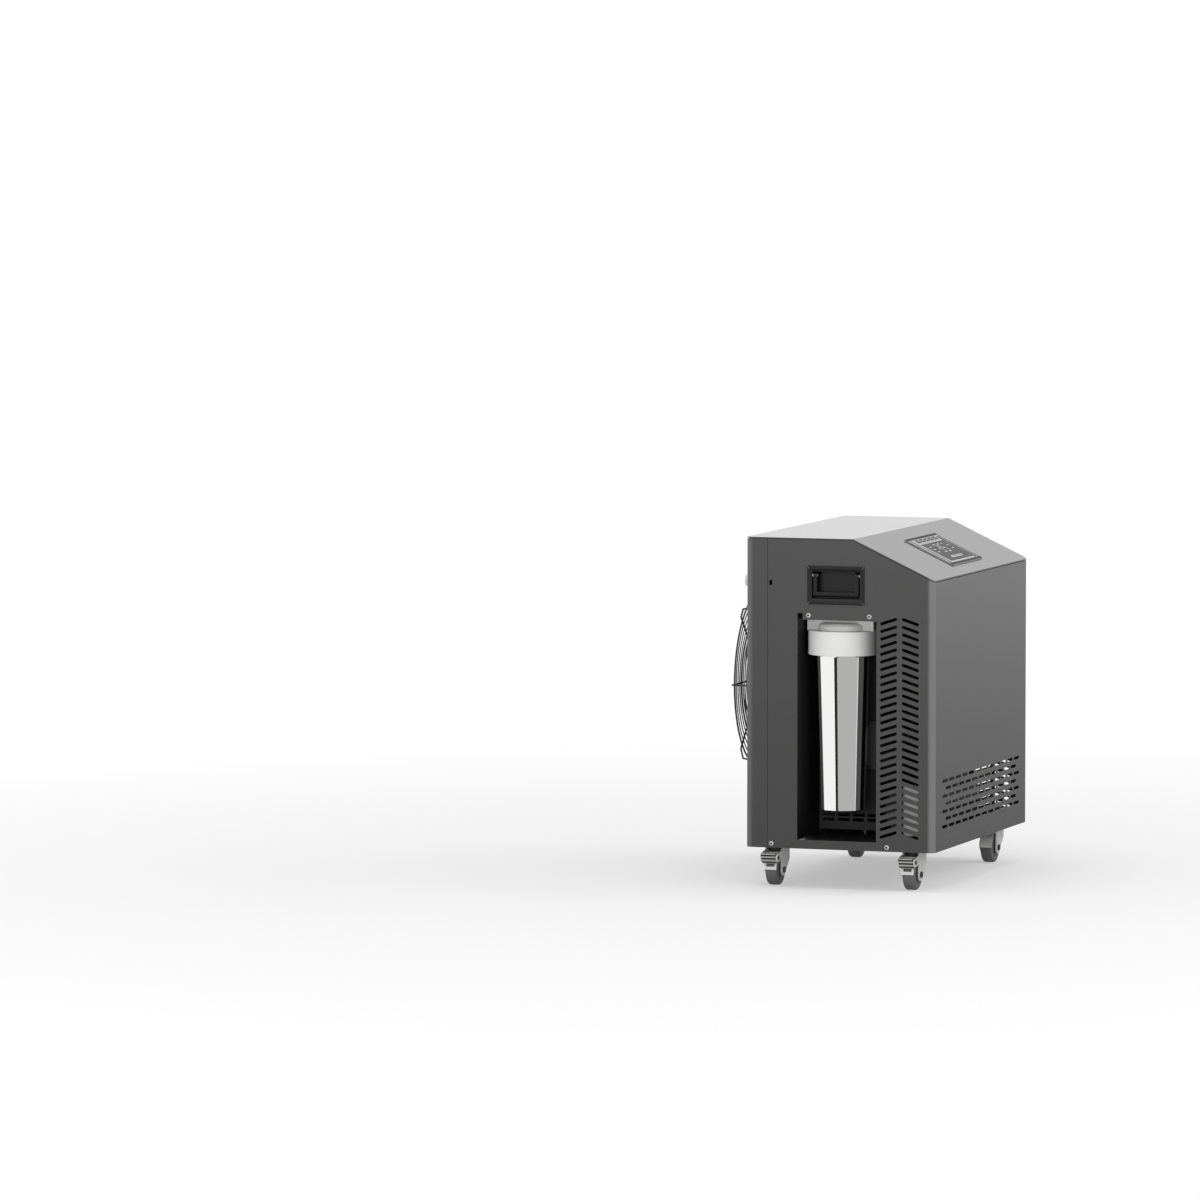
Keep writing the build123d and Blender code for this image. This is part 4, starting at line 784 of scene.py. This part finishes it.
slope_axes = ((1, 0, 0), (0, cos(slope_tilt), sin(slope_tilt)), (0, -sin(slope_tilt), cos(slope_tilt)))
slope_out = Vector(slope_axes[2])
bezel_face = face_matrix(*slope_axes, bezel_middle)
bar_thick, print_thick, tick_thick, key_stand = 0.0005, 0.0002, 0.0001, 0.0005

# Dark bars on the frame are painted shade: of the gaps along its top and bottom edges, of the window's
# edge, and thin lines along its sides.
bezel_shade_bars = flat_marks("bezel_painted_shade_bars", [
    (0.0, 0.0427, 0.163, 0.0052, 0.0), (0.0, -0.0427, 0.163, 0.0052, 0.0),
    (0.0665, -0.001, 0.0050, 0.0740, 0.0), (0.0780, -0.001, 0.0014, 0.0790, 0.0),
    (-0.0735, -0.001, 0.0012, 0.0790, 0.0),
], print_and_shade_black, bezel_face, bar_thick)


def digit(across, up, tall, bars):
    """Seven-bar figure: the named bars of one digit."""
    wide, half, thick = tall * 0.52, tall / 2, tall * 0.12
    across_share, along_share = 0.86, 0.9
    places = {
        "top": (0.0, half, wide, thick),
        "middle": (0.0, 0.0, wide, thick),
        "foot": (0.0, -half, wide, thick),
        "upper_left": (-wide / 2, half / 2, thick, half),
        "upper_right": (wide / 2, half / 2, thick, half),
        "lower_left": (-wide / 2, -half / 2, thick, half),
        "lower_right": (wide / 2, -half / 2, thick, half),
    }
    marks = []
    for bar in bars:
        x, y, width, height = places[bar]
        marks.append((across + x, up + y, width * across_share, height * along_share, 0.0))
    return marks


figure_up, figure_tall = 0.0035, 0.024
bar_up = -0.0245
figures = digit(-0.012, figure_up, figure_tall, ("top", "upper_right", "middle", "lower_right", "foot"))
figures += digit(0.011, figure_up, figure_tall, ("top", "upper_left", "middle", "lower_right", "foot"))
figures += [(0.029, 0.0145, 0.004, 0.004, 0.0), (-0.042, 0.011, 0.012, 0.0022, 0.0),
            (-0.042, 0.003, 0.012, 0.0022, 0.0), (-0.042, -0.005, 0.012, 0.0022, 0.0),
            (0.045, 0.008, 0.010, 0.0022, 0.0), (0.045, -0.002, 0.010, 0.0022, 0.0),
            (0.000, bar_up, 0.056, 0.0058, 0.0)]
display_figures = flat_marks("display_figures", figures, print_white, bezel_face, print_thick)
ticks = [(-0.018 + number * 0.012, bar_up, 0.005, 0.0026, 0.0) for number in range(4)]
tick_face = face_matrix(*slope_axes, bezel_middle + slope_out * print_thick)
bar_ticks = flat_marks("display_bar_ticks", ticks, print_and_shade_black, tick_face, print_thick)
key_pitch, key_up = 0.023, 0.033
key_face = face_matrix(*slope_axes, bezel_middle + slope_out * key_stand)
for number in range(1, 6):
    key_tick = flat_marks(f"key_{number}_tick", [((number - 3) * key_pitch, key_up, 0.0055, 0.0018, 0.0)],
                          print_white, key_face, tick_thick, f"key_{number}_cap")

# Rear fittings
# Two white moulded water spigots through the rear panel, and low on its other side a black
# plastic plate with the power inlet and the rocker switch that tips in it.
dress(white_plastic, "water_ports")
dress(finish("socket_plastic", (0.018, 0.018, 0.018), 0.45, grain=1200.0, bump=0.1), "power_inlet")
dress(finish("rocker_plastic", (0.02, 0.02, 0.02), 0.22), "power_switch")

# Screws
# Zinc-plated pan-head screws with a round driven recess: two at the foot of each end, two for
# the filter bracket, and one in each foot of the fan guard.


def screw_tree():
    """Geometry tree of pan heads on seed points, each turned to the seed's facing."""
    head_sides, crown_share, recess_depth = 28, 0.72, 0.9
    tree, given, result = named_tree("screw_heads", (
        ("Head radius", "Float"), ("Head height", "Float"), ("Recess share", "Float"),
        ("Coat", "Material"), ("Recess", "Material"),
    ))
    wide, tall = given.outputs["Head radius"], given.outputs["Head height"]
    half = maths(tree, "MULTIPLY", tall, 0.5)
    rim = tree.nodes.new("GeometryNodeMeshCylinder")
    rim.inputs["Vertices"].default_value = head_sides
    tree.links.new(wide, rim.inputs["Radius"])
    tree.links.new(half, rim.inputs["Depth"])
    low = moved(tree, rim.outputs["Mesh"], vector(tree, 0.0, 0.0, maths(tree, "MULTIPLY", tall, 0.25)))
    crown = tree.nodes.new("GeometryNodeMeshCone")
    crown.inputs["Vertices"].default_value = head_sides
    tree.links.new(wide, crown.inputs["Radius Bottom"])
    tree.links.new(maths(tree, "MULTIPLY", wide, crown_share), crown.inputs["Radius Top"])
    tree.links.new(half, crown.inputs["Depth"])
    ledge = tree.nodes.new("GeometryNodeExtrudeMesh")
    ledge.inputs["Offset Scale"].default_value = 0.0
    tree.links.new(crown.outputs["Mesh"], ledge.inputs["Mesh"])
    tree.links.new(crown.outputs["Top"], ledge.inputs["Selection"])
    narrow = tree.nodes.new("GeometryNodeScaleElements")
    tree.links.new(ledge.outputs["Mesh"], narrow.inputs["Geometry"])
    tree.links.new(ledge.outputs["Top"], narrow.inputs["Selection"])
    tree.links.new(given.outputs["Recess share"], narrow.inputs["Scale"])
    pit = tree.nodes.new("GeometryNodeExtrudeMesh")
    tree.links.new(narrow.outputs["Geometry"], pit.inputs["Mesh"])
    tree.links.new(ledge.outputs["Top"], pit.inputs["Selection"])
    tree.links.new(maths(tree, "MULTIPLY", half, -recess_depth), pit.inputs["Offset Scale"])
    high = moved(tree, pit.outputs["Mesh"], vector(tree, 0.0, 0.0, half))
    facing = tree.nodes.new("GeometryNodeInputNamedAttribute")
    facing.data_type = "FLOAT_VECTOR"
    facing.inputs["Name"].default_value = "facing"
    turn = tree.nodes.new("FunctionNodeAlignRotationToVector")
    tree.links.new(facing.outputs["Attribute"], turn.inputs["Vector"])
    heads = tree.nodes.new("GeometryNodeInstanceOnPoints")
    tree.links.new(given.outputs["Geometry"], heads.inputs["Points"])
    tree.links.new(joined(tree, (low, high)), heads.inputs["Instance"])
    tree.links.new(turn.outputs["Rotation"], heads.inputs["Rotation"])
    plated = coated(tree, made_real(tree, heads.outputs["Instances"]), given.outputs["Coat"])
    inside = tree.nodes.new("FunctionNodeBooleanMath")
    inside.operation = "OR"
    tree.links.new(pit.outputs["Top"], inside.inputs[0])
    tree.links.new(pit.outputs["Side"], inside.inputs[1])
    shadowed = coated(tree, plated, given.outputs["Recess"], inside.outputs["Boolean"])
    tree.links.new(shadowed, result.inputs["Geometry"])
    return tree


left_face, right_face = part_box("left_end_panel")[0][0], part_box("right_end_panel")[1][0]
bracket_up, bracket_places = 0.4445, (-0.084, 0.019)
foot_up, foot_places = 0.0715, (-0.1145, 0.0816)
guard_step, wire_height = 0.1358, 0.002
seats = [((left_face, y, bracket_up), (-1, 0, 0)) for y in bracket_places]
for x, out in ((left_face, -1), (right_face, 1)):
    seats += [((x, y, foot_up), (out, 0, 0)) for y in foot_places]
for across in (-guard_step, guard_step):
    for up in (-guard_step, guard_step):
        seats.append(((across, guard_centre[1] + wire_height, guard_centre[2] + up), (0, 1, 0)))
seed = bpy.data.meshes.new("screw_seats")
seed.from_pydata([place for place, out in seats], [], [])
outward = seed.attributes.new("facing", "FLOAT_VECTOR", "POINT")
outward.data.foreach_set("vector", [value for place, out in seats for value in out])
screw_shadow = finish("screw_shadow", (0.02, 0.02, 0.02), 0.6)
screw_heads = grow("screw_heads", screw_tree(), {
    "Head radius": 0.0037,
    "Head height": 0.0026,
    "Recess share": 0.72,
    "Coat": zinc,
    "Recess": screw_shadow,
}, seed)
smooth_by_angle(screw_heads, 30)
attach(screw_heads, "case")
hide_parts("case_screws")

# Casters
# Zinc-plated pressed forks swivel under black stem housings, and dark grey treads on plastic
# hubs roll on black bolts. The two at the open end have a grey brake pedal with black ribs.
dress(finish("stem_plastic", (0.025, 0.025, 0.025), 0.40), "caster_stems")
tread = finish("tread_rubber", (0.115, 0.115, 0.116), 0.52, cloudy=0.10, bump=0.08)
hub_plastic = finish("hub_plastic", (0.060, 0.060, 0.060), 0.40)


def ribbed_pedal():
    """Grey plastic with black ribs across it."""
    material = finish("pedal_plastic", (0.42, 0.42, 0.41), 0.38)
    tree = material.node_tree
    rib_scale, rib_start, rib_end = 55.0, 0.45, 0.60
    ribs = ranged(tree, waves(tree, "Z", rib_scale), rib_start, rib_end, 1.0, 0.0)
    tint_over(material, ribs, (0.015, 0.015, 0.015))
    return material


pedal_plastic = ribbed_pedal()
bolt_black = finish("bolt_black", (0.012, 0.012, 0.012), 0.35, grain=600.0)
for corner in ("rear_left", "front_left", "rear_right", "front_right"):
    dress(zinc, f"{corner}_fork")
    dress(bolt_black, f"{corner}_axle")
    dress(tread, f"{corner}_tyre")
    dress(hub_plastic, f"{corner}_hub")
    if corner.endswith("left"):
        dress(pedal_plastic, f"{corner}_pedal")
